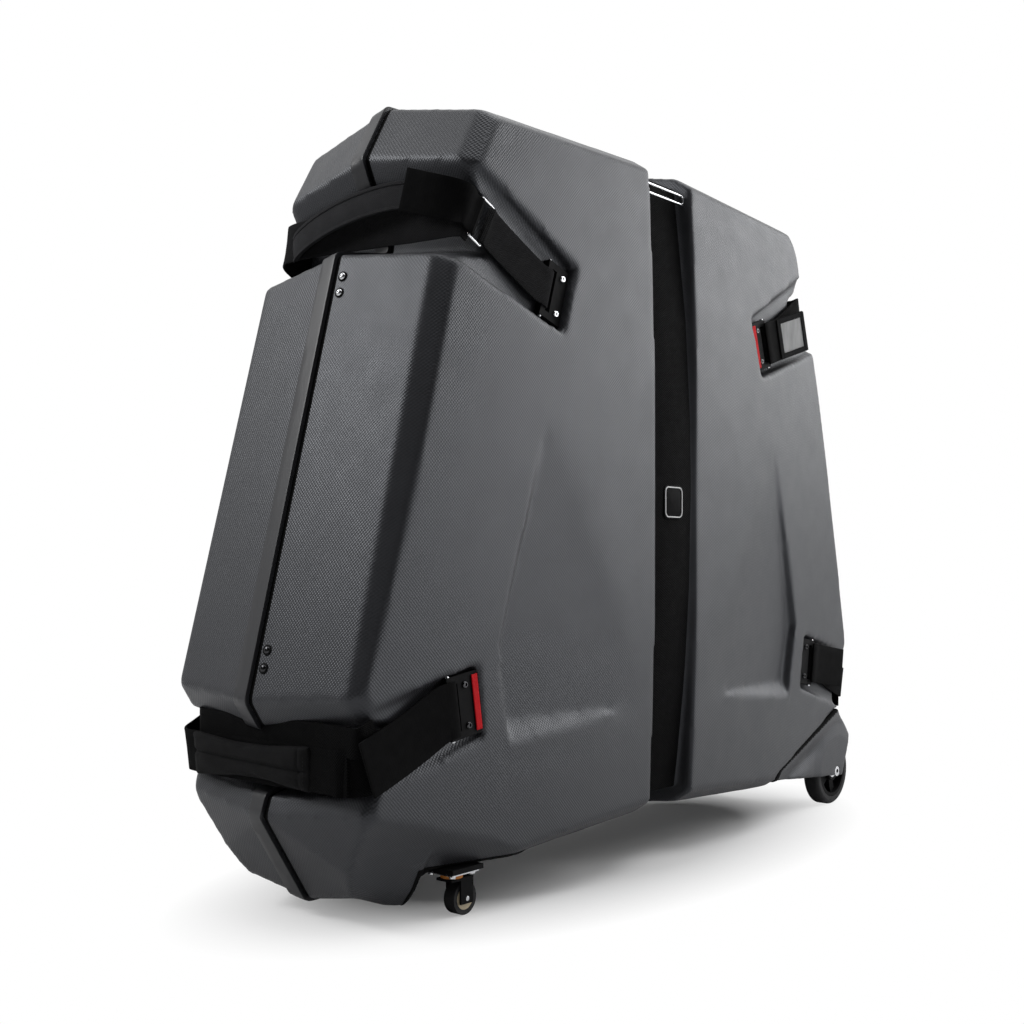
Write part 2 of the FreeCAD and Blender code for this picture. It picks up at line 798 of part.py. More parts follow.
def side_run(frame, level, end, lift):
    """Stations from a bracket to the corner of the case, lifted off the pocket floor."""
    strap_x, strap_z = strap_line(level)
    begin = frame.point(frame.edge - size("strap_start_lap"), 0, STRAP_OUT + lift)
    corner = Vector(end * (strap_x - size("notch_bevel")), frame.side * size("corner_y"), strap_z)
    corner += frame.out * (size("notch_bevel") + lift)
    slope = (corner - begin).normalize()
    side_up = frame.out.cross(slope)
    if side_up.z < 0:
        side_up = -side_up
    nearly = begin + (corner - begin) * size("strap_turn_fraction")
    corner_up = (side_up + UPRIGHT).normalize()
    return [(begin, frame.up), (nearly, side_up), (corner, corner_up)]


def end_run(frame, level, end, lift, last_y):
    """Stations across the end of the case, to the last depth."""
    strap_x, strap_z = strap_line(level)
    x = end * (strap_x + lift)
    turn_in = frame.side * (size("corner_y") - size("notch_bevel"))
    return [(Vector(x, turn_in, strap_z), UPRIGHT), (Vector(x, last_y, strap_z), UPRIGHT)]


def trimmed_band(frame, stations):
    """A strap cut off square beside its bracket."""
    strap = band(stations, size("strap_width"), size("strap_thick"))
    return strap.cut(outside_of(frame.point(frame.edge + size("strap_gap"), 0, 0), -frame.along))


LAP = size("strap_thick") + size("strap_gap")
for end_name, end in ENDS.items():
    for level in ("upper", "lower"):
        frame = frames["far", end_name, level]
        stations = side_run(frame, level, end, 0.0) + end_run(frame, level, end, 0.0, -size("strap_end_y"))
        keep_shape("%s_%s_strap" % (end_name, level), trimmed_band(frame, stations))

        frame = frames["near", end_name, level]
        flap_y = size("upper_flap_end_y" if level == "upper" else "lower_flap_end_y")
        begin, nearly, corner = side_run(frame, level, end, 0.0)
        stations = [begin, nearly, corner] + end_run(frame, level, end, LAP, -flap_y)
        flap = trimmed_band(frame, stations)
        if (end_name, level) == ("front", "upper"):
            run = (nearly[0] - begin[0]).normalize()
            ring_at = begin[0] + (nearly[0] - begin[0]) * size("front_ring_fraction")
            ring_up = nearly[1]
            half = size("ring_length") / 2 + size("strap_gap")
            anchor = flap.cut(outside_of(ring_at - run * half, run))
            flap = flap.cut(outside_of(ring_at + run * half, -run))
            keep_shape("front_upper_anchor", anchor)
            front_ring_frame = (ring_at, run, ring_up)
        keep_shape("%s_%s_flap" % (end_name, level), flap)


def ring_shape(place, run, up, width):
    """A flat rectangular ring lying along a strap."""
    bar = size("ring_bar")
    length = size("ring_length")
    outer = Part.makeBox(length, width + 2 * bar, bar, Vector(-length / 2, -width / 2 - bar, -bar / 2))
    hole_length = length - 2 * bar
    hole = Part.makeBox(hole_length, width, 2 * bar, Vector(-hole_length / 2, -width / 2, -bar))
    frame_ring = outer.cut(hole)
    frame_ring.Placement = Placement(place, Rotation(run, up, run.cross(up), "XZY"))
    return frame_ring


# Middle strap, one length on each half, lying on the channel's floor
def mid_strap_shape():
    width = size("mid_strap_width")
    outer = channel_core(-size("strap_gap") - size("strap_thick"), width)
    inner = channel_core(-size("strap_gap"), 2 * width)
    return outer.cut(inner).common(slab(-FAR_OUT, -size("strap_gap")))


mid_strap = mid_strap_shape()
keep_shape("mid_strap_near", mid_strap)
keep_shape("mid_strap_far", mirrored(mid_strap))


def mid_ring_place():
    """Centre of the ring on the near strap, lying on it just below the top."""
    edge_z = CORNER["crown"][1] - size("channel_depth")
    middle_z = edge_z - size("mid_ring_drop")
    strap_half = mid_strap.common(Part.makeBox(2, FAR_OUT, size("ring_length"),
                                               Vector(-1, -FAR_OUT, middle_z - size("ring_length") / 2)))
    box_of_strap = strap_half.BoundBox
    return Vector(0, box_of_strap.YMin - size("strap_gap") - size("ring_bar") / 2, middle_z)


front_ring = ring_shape(*front_ring_frame, size("strap_width") + 2 * size("strap_gap"))
mid_ring = ring_shape(mid_ring_place(), UPRIGHT, Vector(1, 0, 0), size("mid_strap_width"))
keep_shape("strap_rings", Part.makeCompound([front_ring, mid_ring]))


# Card window on the rear upper flap, and the red pull tabs
def on_flap(frame, level, end, along):
    begin, nearly, corner = side_run(frame, level, end, 0.0)
    run = (nearly[0] - begin[0]).normalize()
    rise = nearly[1]
    out = run.cross(rise)
    if out.dot(frame.out) < 0:
        out = -out
    place = begin[0] + run * along + out * (size("strap_thick") / 2 + size("strap_gap"))
    return Placement(place, Rotation(run, out.cross(run), out, "XZY"))


window_frame = on_flap(frames["near", "rear", "upper"], "upper", REAR, size("window_along"))
window_centre = Vector(-size("window_length") / 2, -size("window_width") / 2, 0)
keep("id_window", box("id_window", "Sizes.window_length", "Sizes.window_width", "Sizes.window_thick",
                      window_frame.multiply(Placement(window_centre, Rotation()))))

red_tabs = []
for frame in frames.values():
    if frame.tab_room:
        corner = frame.lower_edge(size("bracket_setback"), size("red_tab_width"), size("bracket_thick"))
        red_tabs.append(box("red_tab_%d" % len(red_tabs), "Sizes.red_tab_length", "Sizes.red_tab_width",
                            "Sizes.red_tab_thick", corner))
keep("red_tabs", group("red_tabs", red_tabs))


# Padded handles round the front straps
def make_handle(label, level):
    strap_x, strap_z = strap_line(level)
    gap = size("strap_gap")
    y_from = size("handle_shift_y") - size("handle_length") / 2
    pad = box(label + "_pad", "Sizes.handle_thick", "Sizes.handle_length", "Sizes.handle_height",
              at(-strap_x - size("handle_thick") / 2, y_from, strap_z - size("handle_height") / 2))
    doc.recompute()
    rounded = doc.addObject("Part::Fillet", label + "_rounded")
    rounded.Base = pad
    radius = size("handle_round")
    rounded.Edges = [(i + 1, radius, radius) for i in range(len(pad.Shape.Edges))]
    sleeve = box(label + "_sleeve", "Sizes.strap_thick + 2 * Sizes.strap_gap", "2 * Sizes.handle_length",
                 "Sizes.strap_width + 2 * Sizes.strap_gap",
                 at(-strap_x - size("strap_thick") / 2 - gap, y_from - size("handle_length") / 2,
                    strap_z - size("strap_width") / 2 - gap))
    keep(label, cut(label, rounded, sleeve))


make_handle("front_upper_handle", "upper")
make_handle("front_lower_handle", "lower")

# Casters at the front end
CASTER_R = size("caster_wheel_dia") / 2
CASTER_AXLE_X = -size("caster_x") + size("caster_trail")
CROWN_Z = size("caster_wheel_dia") + size("fork_top_gap")
CROWN_TOP_Z = CROWN_Z + size("fork_crown_thick")
HOUSING_Z = size("caster_ceiling_z") - size("housing_thick")
PLATE_Z = HOUSING_Z - size("plate_thick")
LEG_Y = size("caster_wheel_width") / 2 + size("fork_side_gap")
FORK_HALF_Y = LEG_Y + size("fork_leg_thick")


def make_caster(side_name, side):
    x, y = -size("caster_x"), side * size("caster_y")
    half = size("plate_length") / 2
    margin = size("housing_margin")
    label = side_name + "_caster_housing"
    keep(label, box(label, "Sizes.plate_length + 2 * Sizes.housing_margin",
                    "Sizes.plate_length + 2 * Sizes.housing_margin", "Sizes.housing_thick",
                    at(x - half - margin, y - half - margin, HOUSING_Z)))

    label = side_name + "_caster_plate"
    plate = box(label + "_blank", "Sizes.plate_length", "Sizes.plate_length", "Sizes.plate_thick",
                at(x - half, y - half, PLATE_Z))
    bore = cylinder(label + "_bore", "Sizes.kingpin_dia / 2 + Sizes.running_gap", "3 * Sizes.plate_thick",
                    at(x, y, PLATE_Z - size("plate_thick")))
    keep(label, cut(label, plate, bore))

    label = side_name + "_caster_bolts"
    reach = half - size("bolt_inset")
    bolts = []
    for dx in (-reach, reach):
        for dy in (-reach, reach):
            bolts.append(cylinder("%s_%d" % (label, len(bolts)), "Sizes.bolt_head_dia / 2",
                                  "Sizes.bolt_head_height",
                                  at(x + dx, y + dy, PLATE_Z - size("bolt_head_height"))))
    keep(label, group(label, bolts))

    label = side_name + "_dust_ring"
    height = PLATE_Z - CROWN_TOP_Z - size("dust_ring_gap")
    disc = cylinder(label + "_disc", "Sizes.dust_ring_dia / 2", str(height),
                    at(x, y, CROWN_TOP_Z + size("dust_ring_gap")))
    bore = cylinder(label + "_bore", "Sizes.kingpin_dia / 2 + Sizes.running_gap", str(3 * height),
                    at(x, y, CROWN_TOP_Z - height))
    keep(label, cut(label, disc, bore))

    label = side_name + "_caster_fork"
    leg_half = size("fork_leg_length") / 2
    crown_back = x - size("dust_ring_dia") / 2
    crown_length = CASTER_AXLE_X + leg_half - crown_back
    parts = [box(label + "_crown", str(crown_length), str(2 * FORK_HALF_Y), "Sizes.fork_crown_thick",
                 at(crown_back, y - FORK_HALF_Y, CROWN_Z))]
    leg_low = CASTER_R - size("caster_axle_dia")
    for number, leg_y in enumerate((-FORK_HALF_Y, LEG_Y)):
        parts.append(box("%s_leg_%d" % (label, number), "Sizes.fork_leg_length", "Sizes.fork_leg_thick",
                         str(CROWN_Z - leg_low), at(CASTER_AXLE_X - leg_half, y + leg_y, leg_low)))
    parts.append(cylinder(label + "_kingpin", "Sizes.kingpin_dia / 2", str(HOUSING_Z - CROWN_Z - size("kingpin_end_gap")),
                          at(x, y, CROWN_Z)))
    hole = cylinder(label + "_hole", "Sizes.caster_axle_dia / 2 + Sizes.running_gap", str(4 * FORK_HALF_Y),
                    along_y(CASTER_AXLE_X, y - 2 * FORK_HALF_Y, CASTER_R))
    keep(label, cut(label, fuse(label + "_blank", parts), hole))

    label = side_name + "_caster_axle"
    length = 2 * FORK_HALF_Y + size("bolt_head_height") / 2
    keep(label, cylinder(label, "Sizes.caster_axle_dia / 2", str(length),
                         along_y(CASTER_AXLE_X, y - length / 2, CASTER_R)))

    wheel_y = y - size("caster_wheel_width") / 2
    label = side_name + "_caster_tyre"
    tread = cylinder(label + "_tread", "Sizes.caster_wheel_dia / 2", "Sizes.caster_wheel_width",
                     along_y(CASTER_AXLE_X, wheel_y, CASTER_R))
    seat = cylinder(label + "_seat", "Sizes.caster_core_dia / 2", "3 * Sizes.caster_wheel_width",
                    along_y(CASTER_AXLE_X, wheel_y - size("caster_wheel_width"), CASTER_R))
    doc.recompute()
    rounded = doc.addObject("Part::Fillet", label + "_rounded")
    rounded.Base = tread
    edge_round = size("caster_tyre_round")
    rounded.Edges = [(1, edge_round, edge_round), (3, edge_round, edge_round)]
    keep(label, cut(label, rounded, seat))

    label = side_name + "_caster_core"
    disc = cylinder(label + "_disc", "Sizes.caster_core_dia / 2 - Sizes.bond_gap", "Sizes.caster_wheel_width",
                    along_y(CASTER_AXLE_X, wheel_y, CASTER_R))
    bore = cylinder(label + "_bore", "Sizes.caster_axle_dia / 2 + Sizes.running_gap",
                    "3 * Sizes.caster_wheel_width",
                    along_y(CASTER_AXLE_X, wheel_y - size("caster_wheel_width"), CASTER_R))
    keep(label, cut(label, disc, bore))


for side_name, side in SIDES.items():
    make_caster(side_name, side)

# Large wheels and fenders at the rear end
WHEEL_X = size("rear_wheel_x")
WHEEL_R = size("rear_wheel_dia") / 2
WHEEL_HALF = size("rear_wheel_width") / 2
FENDER_SLOT_IN = size("rear_wheel_y") - WHEEL_HALF - size("wheel_side_gap")
FENDER_SLOT_OUT = size("rear_wheel_y") + WHEEL_HALF + size("wheel_side_gap")
FENDER_OUT = FENDER_SLOT_OUT + size("fender_wall")
SPOKES = 5


def fender_shape():
    """Pod over the wheel of the near half, with a slot for the wheel and a bore for its axle."""
    tip, nose, top, rear, heel = [Vector(x, 0, z) for x, z in FENDER.values()]
    chord = (rear - top).normalize()
    bulge = (top + rear) * 0.5 + Vector(-chord.z, 0, chord.x) * size("fender_bulge")
    lines = Part.makePolygon([rear, heel, tip, nose, top]).Edges
    face = Part.Face(Part.Wire([Part.Arc(top, bulge, rear).toShape()] + lines))
    face.translate(Vector(0, -FENDER_OUT, 0))
    pod = face.extrude(Vector(0, FENDER_OUT - size("fender_inner_y"), 0))
    radius = WHEEL_R + size("wheel_round_gap")
    depth = FENDER_SLOT_OUT - FENDER_SLOT_IN
    axle = Vector(WHEEL_X, -FENDER_SLOT_OUT, WHEEL_R)
    slot = Part.makeCylinder(radius, depth, axle, Vector(0, 1, 0))
    slot = slot.fuse(Part.makeBox(2 * radius, depth, radius, axle - Vector(radius, 0, radius)))
    slot = slot.fuse(Part.makeBox(2 * radius, depth, radius, axle - Vector(0, 0, radius)))
    bore = Part.makeCylinder(size("rear_axle_dia") / 2 + size("running_gap"), 2 * FAR_OUT,
                             Vector(WHEEL_X, -FAR_OUT, WHEEL_R), Vector(0, 1, 0))
    return pod.cut([slot, bore])


def tyre_shape():
    """Section of the tread turned about the axle, on the near half."""
    inner, outer = size("rear_rim_dia") / 2, WHEEL_R
    rounding = size("rear_tyre_round")
    y = -size("rear_wheel_y")
    blank = Part.makeCylinder(outer, 2 * WHEEL_HALF, Vector(WHEEL_X, y - WHEEL_HALF, WHEEL_R), Vector(0, 1, 0))
    rims = [edge for edge in blank.Edges if isinstance(edge.Curve, Part.Circle)]
    blank = blank.makeFillet(rounding, rims)
    seat = Part.makeCylinder(inner, 4 * WHEEL_HALF, Vector(WHEEL_X, y - 2 * WHEEL_HALF, WHEEL_R), Vector(0, 1, 0))
    return blank.cut(seat)


def make_rear_wheel(side_name, side):
    y = side * size("rear_wheel_y")
    start = y - WHEEL_HALF
    label = side_name + "_rear_rim"
    hoop = cylinder(label + "_hoop", "Sizes.rear_rim_dia / 2 - Sizes.bond_gap", "Sizes.rear_wheel_width",
                    along_y(WHEEL_X, start, WHEEL_R))
    inside = cylinder(label + "_inside", "Sizes.rear_rim_dia / 2 - Sizes.rear_rim_thick",
                      "3 * Sizes.rear_wheel_width", along_y(WHEEL_X, start - 2 * WHEEL_HALF, WHEEL_R))
    parts = [cut(label + "_ring", hoop, inside)]
    parts.append(cylinder(label + "_hub", "Sizes.rear_hub_dia / 2", "Sizes.rear_wheel_width",
                          along_y(WHEEL_X, start, WHEEL_R)))
    for number in range(SPOKES):
        turn = Rotation(Vector(0, 1, 0), 360.0 * number / SPOKES)
        corner = Vector(0, start + WHEEL_HALF / 2, -size("rear_spoke_width") / 2)
        spoke_place = Placement(Vector(WHEEL_X, 0, WHEEL_R), turn).multiply(Placement(corner, Rotation()))
        parts.append(box("%s_spoke_%d" % (label, number), "Sizes.rear_rim_dia / 2 - Sizes.rear_rim_thick / 2",
                         "Sizes.rear_wheel_width / 2", "Sizes.rear_spoke_width", spoke_place))
    bore = cylinder(label + "_bore", "Sizes.bearing_dia / 2 + Sizes.bond_gap", "3 * Sizes.rear_wheel_width",
                    along_y(WHEEL_X, start - 2 * WHEEL_HALF, WHEEL_R))
    keep(label, cut(label, fuse(label + "_blank", parts), bore))

    label = side_name + "_rear_bearings"
    bearings = []
    for bearing_y in (start, start + 2 * WHEEL_HALF - size("bearing_width")):
        name = "%s_%d" % (label, len(bearings))
        race = cylinder(name + "_race", "Sizes.bearing_dia / 2", "Sizes.bearing_width",
                        along_y(WHEEL_X, bearing_y, WHEEL_R))
        bore = cylinder(name + "_bore", "Sizes.rear_axle_dia / 2 + Sizes.running_gap", "3 * Sizes.bearing_width",
                        along_y(WHEEL_X, bearing_y - size("bearing_width"), WHEEL_R))
        bearings.append(cut(name, race, bore))
    keep(label, group(label, bearings))

    label = side_name + "_rear_axle"
    length = FENDER_OUT - size("fender_inner_y")
    axle_y = size("fender_inner_y") if side == FAR else -FENDER_OUT
    head_y = FENDER_OUT if side == FAR else -FENDER_OUT - size("axle_head_height")
    pin = cylinder(label + "_pin", "Sizes.rear_axle_dia / 2", str(length), along_y(WHEEL_X, axle_y, WHEEL_R))
    head = cylinder(label + "_head", "Sizes.axle_head_dia / 2", "Sizes.axle_head_height",
                    along_y(WHEEL_X, head_y, WHEEL_R))
    keep(label, fuse(label, [pin, head]))


near_fender = fender_shape()
near_tyre = tyre_shape()
keep_shape("near_fender", near_fender)
keep_shape("far_fender", mirrored(near_fender))
keep_shape("near_rear_tyre", near_tyre)
keep_shape("far_rear_tyre", mirrored(near_tyre))
for side_name, side in SIDES.items():
    make_rear_wheel(side_name, side)


# Foam lining, lying on the inner wall of the middle channel
def foam_depth():
    """Depth of the channel's inner wall at the pad's top edge."""
    reach = size("foam_half_height")
    core = channel_core(size("wall") + size("foam_gap"), size("channel_half_width"))
    probe = core.common(Part.makeBox(2, 2 * FAR_OUT, 1, Vector(-1, -FAR_OUT, MIDDLE_Z + reach)))
    low_probe = core.common(Part.makeBox(2, 2 * FAR_OUT, 1, Vector(-1, -FAR_OUT, MIDDLE_Z - reach - 1)))
    return min(-probe.BoundBox.YMin, -low_probe.BoundBox.YMin)


def foam_half_length():
    """Room between the middle and the upper pocket's end wall, at the pad's top edge."""
    end_top, end_low = pocket_outline("upper", REAR)[1:3]
    fall = (end_top[1] - MIDDLE_Z - size("foam_half_height")) / (end_top[1] - end_low[1])
    wall_x = end_top[0] + fall * (end_low[0] - end_top[0])
    return wall_x - size("wall") - size("foam_edge_gap")


FOAM_OUT = foam_depth()
FOAM_HALF = foam_half_length()
for side_name, side in SIDES.items():
    label = side_name + "_foam_pad"
    start_y = FOAM_OUT - size("foam_thick") if side == FAR else -FOAM_OUT
    keep(label, box(label, str(2 * FOAM_HALF), "Sizes.foam_thick", "2 * Sizes.foam_half_height",
                    at(-FOAM_HALF, start_y, MIDDLE_Z - size("foam_half_height"))))

doc.recompute()
for feature in doc.Objects:
    if "Invalid" in feature.State or "Error" in feature.State:
        raise RuntimeError("%s failed: %s" % (feature.Label, feature.State))
for label, feature in nodes.items():
    if feature.Shape.isNull() or not feature.Shape.isValid() or feature.Shape.Volume <= 0:
        raise RuntimeError("%s has no valid shape" % label)

os.makedirs("parts", exist_ok=True)
for label, feature in nodes.items():
    feature.Shape.exportStep("parts/%s.step" % label)
    bounds = feature.Shape.BoundBox
    print("%-28s %d solids %10.1f mm3  X %.0f %.0f  Y %.0f %.0f  Z %.0f %.0f" % (
        label, len(feature.Shape.Solids), feature.Shape.Volume, bounds.XMin, bounds.XMax, bounds.YMin,
        bounds.YMax, bounds.ZMin, bounds.ZMax))
print("%d nodes" % len(nodes))
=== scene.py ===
"""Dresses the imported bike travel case: soft-edged moulded shells, webbing, hardware, wheels and the stage."""
import json
import math

import bpy
import numpy as np
from mathutils import Matrix, Vector

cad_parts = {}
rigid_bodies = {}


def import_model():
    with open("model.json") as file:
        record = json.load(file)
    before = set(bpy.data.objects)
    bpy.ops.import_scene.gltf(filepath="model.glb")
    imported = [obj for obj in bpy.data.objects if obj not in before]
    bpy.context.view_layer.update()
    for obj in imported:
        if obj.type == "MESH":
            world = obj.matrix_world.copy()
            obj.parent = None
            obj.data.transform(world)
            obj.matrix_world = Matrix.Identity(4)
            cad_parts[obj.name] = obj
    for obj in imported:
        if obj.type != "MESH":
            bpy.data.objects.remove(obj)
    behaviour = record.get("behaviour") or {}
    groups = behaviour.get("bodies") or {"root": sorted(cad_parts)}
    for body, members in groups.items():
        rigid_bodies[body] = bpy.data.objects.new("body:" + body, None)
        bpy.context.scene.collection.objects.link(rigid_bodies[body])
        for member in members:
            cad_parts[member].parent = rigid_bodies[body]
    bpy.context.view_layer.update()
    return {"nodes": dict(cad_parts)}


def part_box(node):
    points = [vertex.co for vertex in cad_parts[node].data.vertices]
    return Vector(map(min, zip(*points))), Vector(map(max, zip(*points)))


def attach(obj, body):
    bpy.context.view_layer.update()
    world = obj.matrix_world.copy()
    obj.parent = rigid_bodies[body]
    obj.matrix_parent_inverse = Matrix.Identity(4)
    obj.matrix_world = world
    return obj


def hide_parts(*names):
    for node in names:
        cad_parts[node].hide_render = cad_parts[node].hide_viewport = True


bl_info = {
    "name": "Bike travel case",
    "version": (1, 0, 0),
    "blender": (4, 5, 0),
    "location": "3D View > Sidebar > Case",
    "description": "Builds the looks of a hard bike travel case around its packed frame",
    "category": "Object",
}

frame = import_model()
NODES = frame["nodes"]
SIDES = ("near", "far")
MIRROR_Y = Matrix.Diagonal((1.0, -1.0, 1.0, 1.0))
UPRIGHT = np.array([0.0, 0.0, 1.0])


class CaseSizes(bpy.types.PropertyGroup):
    """Sizes of the looks, in metres."""
    voxel: bpy.props.FloatProperty(name="Shell grain", description="Mesh size of the moulded shells",
                                   default=0.004, unit="LENGTH")
    wall: bpy.props.FloatProperty(name="Wall", description="Thickness of the moulded shells", default=0.003,
                                  unit="LENGTH")
    seam_gap: bpy.props.FloatProperty(name="Seam gap", description="Gap between the halves", default=0.007,
                                      unit="LENGTH")
    lip_width: bpy.props.FloatProperty(name="Lip width", description="Width of the raised seam lip",
                                       default=0.024, unit="LENGTH")
    lip_rise: bpy.props.FloatProperty(name="Lip rise", description="How far the seam lip stands proud",
                                      default=0.004, unit="LENGTH")
    dot_pitch: bpy.props.FloatProperty(name="Dot pitch", description="Pitch of the moulded dot weave",
                                       default=0.0044, unit="LENGTH")
    strap_width: bpy.props.FloatProperty(name="Strap width", description="Width of the end straps",
                                         default=0.050, unit="LENGTH")
    strap_thick: bpy.props.FloatProperty(name="Strap thickness", description="Thickness of the end straps",
                                         default=0.0028, unit="LENGTH")


class CaseColours(bpy.types.PropertyGroup):
    """Base colours, linear."""
    shell: bpy.props.FloatVectorProperty(name="Shell", description="Moulded shell", subtype="COLOR", size=3,
                                         default=(0.026, 0.0265, 0.0295))
    black: bpy.props.FloatVectorProperty(name="Black", description="Black plastic", subtype="COLOR", size=3,
                                         default=(0.006, 0.006, 0.0065))
    webbing: bpy.props.FloatVectorProperty(name="Webbing", description="Straps and handles", subtype="COLOR",
                                           size=3, default=(0.012, 0.012, 0.0128))


def sizes():
    return bpy.context.scene.case_sizes


def colours():
    return bpy.context.scene.case_colours


# Working on objects

def activate(obj):
    """Makes one object the only selected one."""
    if bpy.context.object and bpy.context.object.mode != "OBJECT":
        bpy.ops.object.mode_set(mode="OBJECT")
    bpy.ops.object.select_all(action="DESELECT")
    obj.hide_set(False)
    obj.select_set(True)
    bpy.context.view_layer.objects.active = obj


def edit_all(obj):
    """Opens an object's mesh with everything selected."""
    activate(obj)
    bpy.ops.object.mode_set(mode="EDIT")
    bpy.ops.mesh.select_all(action="SELECT")


def end_edit():
    bpy.ops.object.mode_set(mode="OBJECT")


def modify(obj, kind, **settings):
    """Adds a modifier and applies it."""
    activate(obj)
    modifier = obj.modifiers.new(kind.title(), kind)
    for name, value in settings.items():
        setattr(modifier, name, value)
    bpy.ops.object.modifier_apply(modifier=modifier.name)


def ease(obj, width, angle):
    """Rounds off the edges that turn by more than an angle in degrees."""
    modify(obj, "BEVEL", width=width, segments=2, limit_method="ANGLE", angle_limit=math.radians(angle))


def primitive(kind, name, **settings):
    """Adds a primitive mesh, with everything else deselected first."""
    bpy.ops.object.select_all(action="DESELECT")
    getattr(bpy.ops.mesh, "primitive_%s_add" % kind)(**settings)
    made = bpy.context.object
    made.name = name
    return made


def points_of(obj):
    flat = np.empty(len(obj.data.vertices) * 3, np.float32)
    obj.data.vertices.foreach_get("co", flat)
    return flat.reshape(-1, 3).astype(float)


def set_points(obj, points):
    obj.data.vertices.foreach_set("co", points.astype(np.float32).ravel())
    obj.data.update()


def copy_of(obj, name):
    made = bpy.data.objects.new(name, obj.data.copy())
    bpy.context.scene.collection.objects.link(made)
    return made


def node_copy(node, name):
    """A CAD node's mesh as a new object, its loose triangles merged."""
    made = copy_of(NODES[node], name)
    made.data.materials.clear()
    edit_all(made)
    bpy.ops.mesh.remove_doubles(threshold=1e-5)
    end_edit()
    return made


def mirrored_copy(obj, name):
    """The same piece on the other half, with its faces turned outwards again."""
    made = copy_of(obj, name)
    made.data.transform(MIRROR_Y)
    edit_all(made)
    bpy.ops.mesh.flip_normals()
    end_edit()
    return made


def select_verts(obj, chosen):
    """Selects vertices by a yes or no for each, and opens the mesh."""
    activate(obj)
    flags = np.zeros(len(obj.data.vertices), bool)
    flags[:] = chosen
    obj.data.polygons.foreach_set("select", np.zeros(len(obj.data.polygons), bool))
    obj.data.edges.foreach_set("select", np.zeros(len(obj.data.edges), bool))
    obj.data.vertices.foreach_set("select", flags)
    bpy.ops.object.mode_set(mode="EDIT")
    bpy.ops.mesh.select_mode(type="VERT")


def cut_off(obj, y, keep_above):
    """Cuts a mesh at a depth and keeps one side of it."""
    edit_all(obj)
    bpy.ops.mesh.bisect(plane_co=(0, y, 0), plane_no=(0, 1, 0), clear_inner=keep_above,
                        clear_outer=not keep_above)
    end_edit()


def box_uv(obj):
    """UV map in metres, laid flat on each face's main direction."""
    mesh = obj.data
    layer = mesh.uv_layers.get("UVMap") or mesh.uv_layers.new(name="UVMap")
    normals = np.empty(len(mesh.polygons) * 3, np.float32)
    mesh.polygons.foreach_get("normal", normals)
    axis = np.abs(normals.reshape(-1, 3)).argmax(1)
    totals = np.empty(len(mesh.polygons), np.int32)
    mesh.polygons.foreach_get("loop_total", totals)
    corner_axis = np.repeat(axis, totals)
    corner_vertex = np.empty(len(mesh.loops), np.int32)
    mesh.loops.foreach_get("vertex_index", corner_vertex)
    places = points_of(obj)[corner_vertex]
    first = np.where(corner_axis == 0, places[:, 1], places[:, 0])
    second = np.where(corner_axis == 2, places[:, 1], places[:, 2])
    layer.data.foreach_set("uv", np.stack([first, second], 1).astype(np.float32).ravel())


def ramp(values, start, stop):
    """Shares of 0 before the start and 1 past the stop, which may be the lower of the two."""
    return np.clip((values - start) / (stop - start), 0.0, 1.0)


def hump(values, start, full, ebb, stop):
    """Shares that rise from start to full and fall from ebb to stop."""
    return ramp(values, start, full) * ramp(values, stop, ebb)


def bell(values, centre, width):
    """Shares that are 1 at the centre and fall off softly to both sides."""
    return np.exp(-((values - centre) / width) ** 2)


def dress(obj, material, body, slot, *stands_for, smooth_angle=40.0):
    """Gives a finished piece its material and its body, and hides what it stands for. The slot is not used."""
    obj.data.materials.clear()
    obj.data.materials.append(material)
    activate(obj)
    bpy.ops.object.shade_smooth_by_angle(angle=math.radians(smooth_angle))
    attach(obj, body)
    if stands_for:
        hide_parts(*stands_for)


# Materials

class Nodes:
    """Short ways to add nodes to a node tree."""

    def __init__(self, tree):
        self.tree = tree

    def node(self, kind, **settings):
        made = self.tree.nodes.new(kind)
        for name, value in settings.items():
            setattr(made, name, value)
        return made

    def link(self, output, socket):
        self.tree.links.new(output, socket)

    def place(self, which):
        return self.node("ShaderNodeTexCoord").outputs[which]

    def split(self, which):
        """The X, Y and Z outputs of a texture coordinate."""
        made = self.node("ShaderNodeSeparateXYZ")
        self.link(self.place(which), made.inputs["Vector"])
        return made.outputs

    def math(self, operation, first, second=None):
        made = self.node("ShaderNodeMath", operation=operation)
        for socket, value in zip(made.inputs, (first, second)):
            if value is None:
                continue
            if isinstance(value, (int, float)):
                socket.default_value = value
            else:
                self.link(value, socket)
        return made.outputs["Value"]

    def ranged(self, value, low, high, from_low=0.0, from_high=1.0):
        made = self.node("ShaderNodeMapRange")
        self.link(value, made.inputs["Value"])
        made.inputs["From Min"].default_value = from_low
        made.inputs["From Max"].default_value = from_high
        made.inputs["To Min"].default_value = low
        made.inputs["To Max"].default_value = high
        return made.outputs["Result"]

    def rays(self, first, *others):
        """One where the ray is of any of the named kinds, and zero elsewhere."""
        path = self.node("ShaderNodeLightPath")
        seen = path.outputs["Is %s Ray" % first]
        for kind in others:
            seen = self.math("MAXIMUM", seen, path.outputs["Is %s Ray" % kind])
        return seen


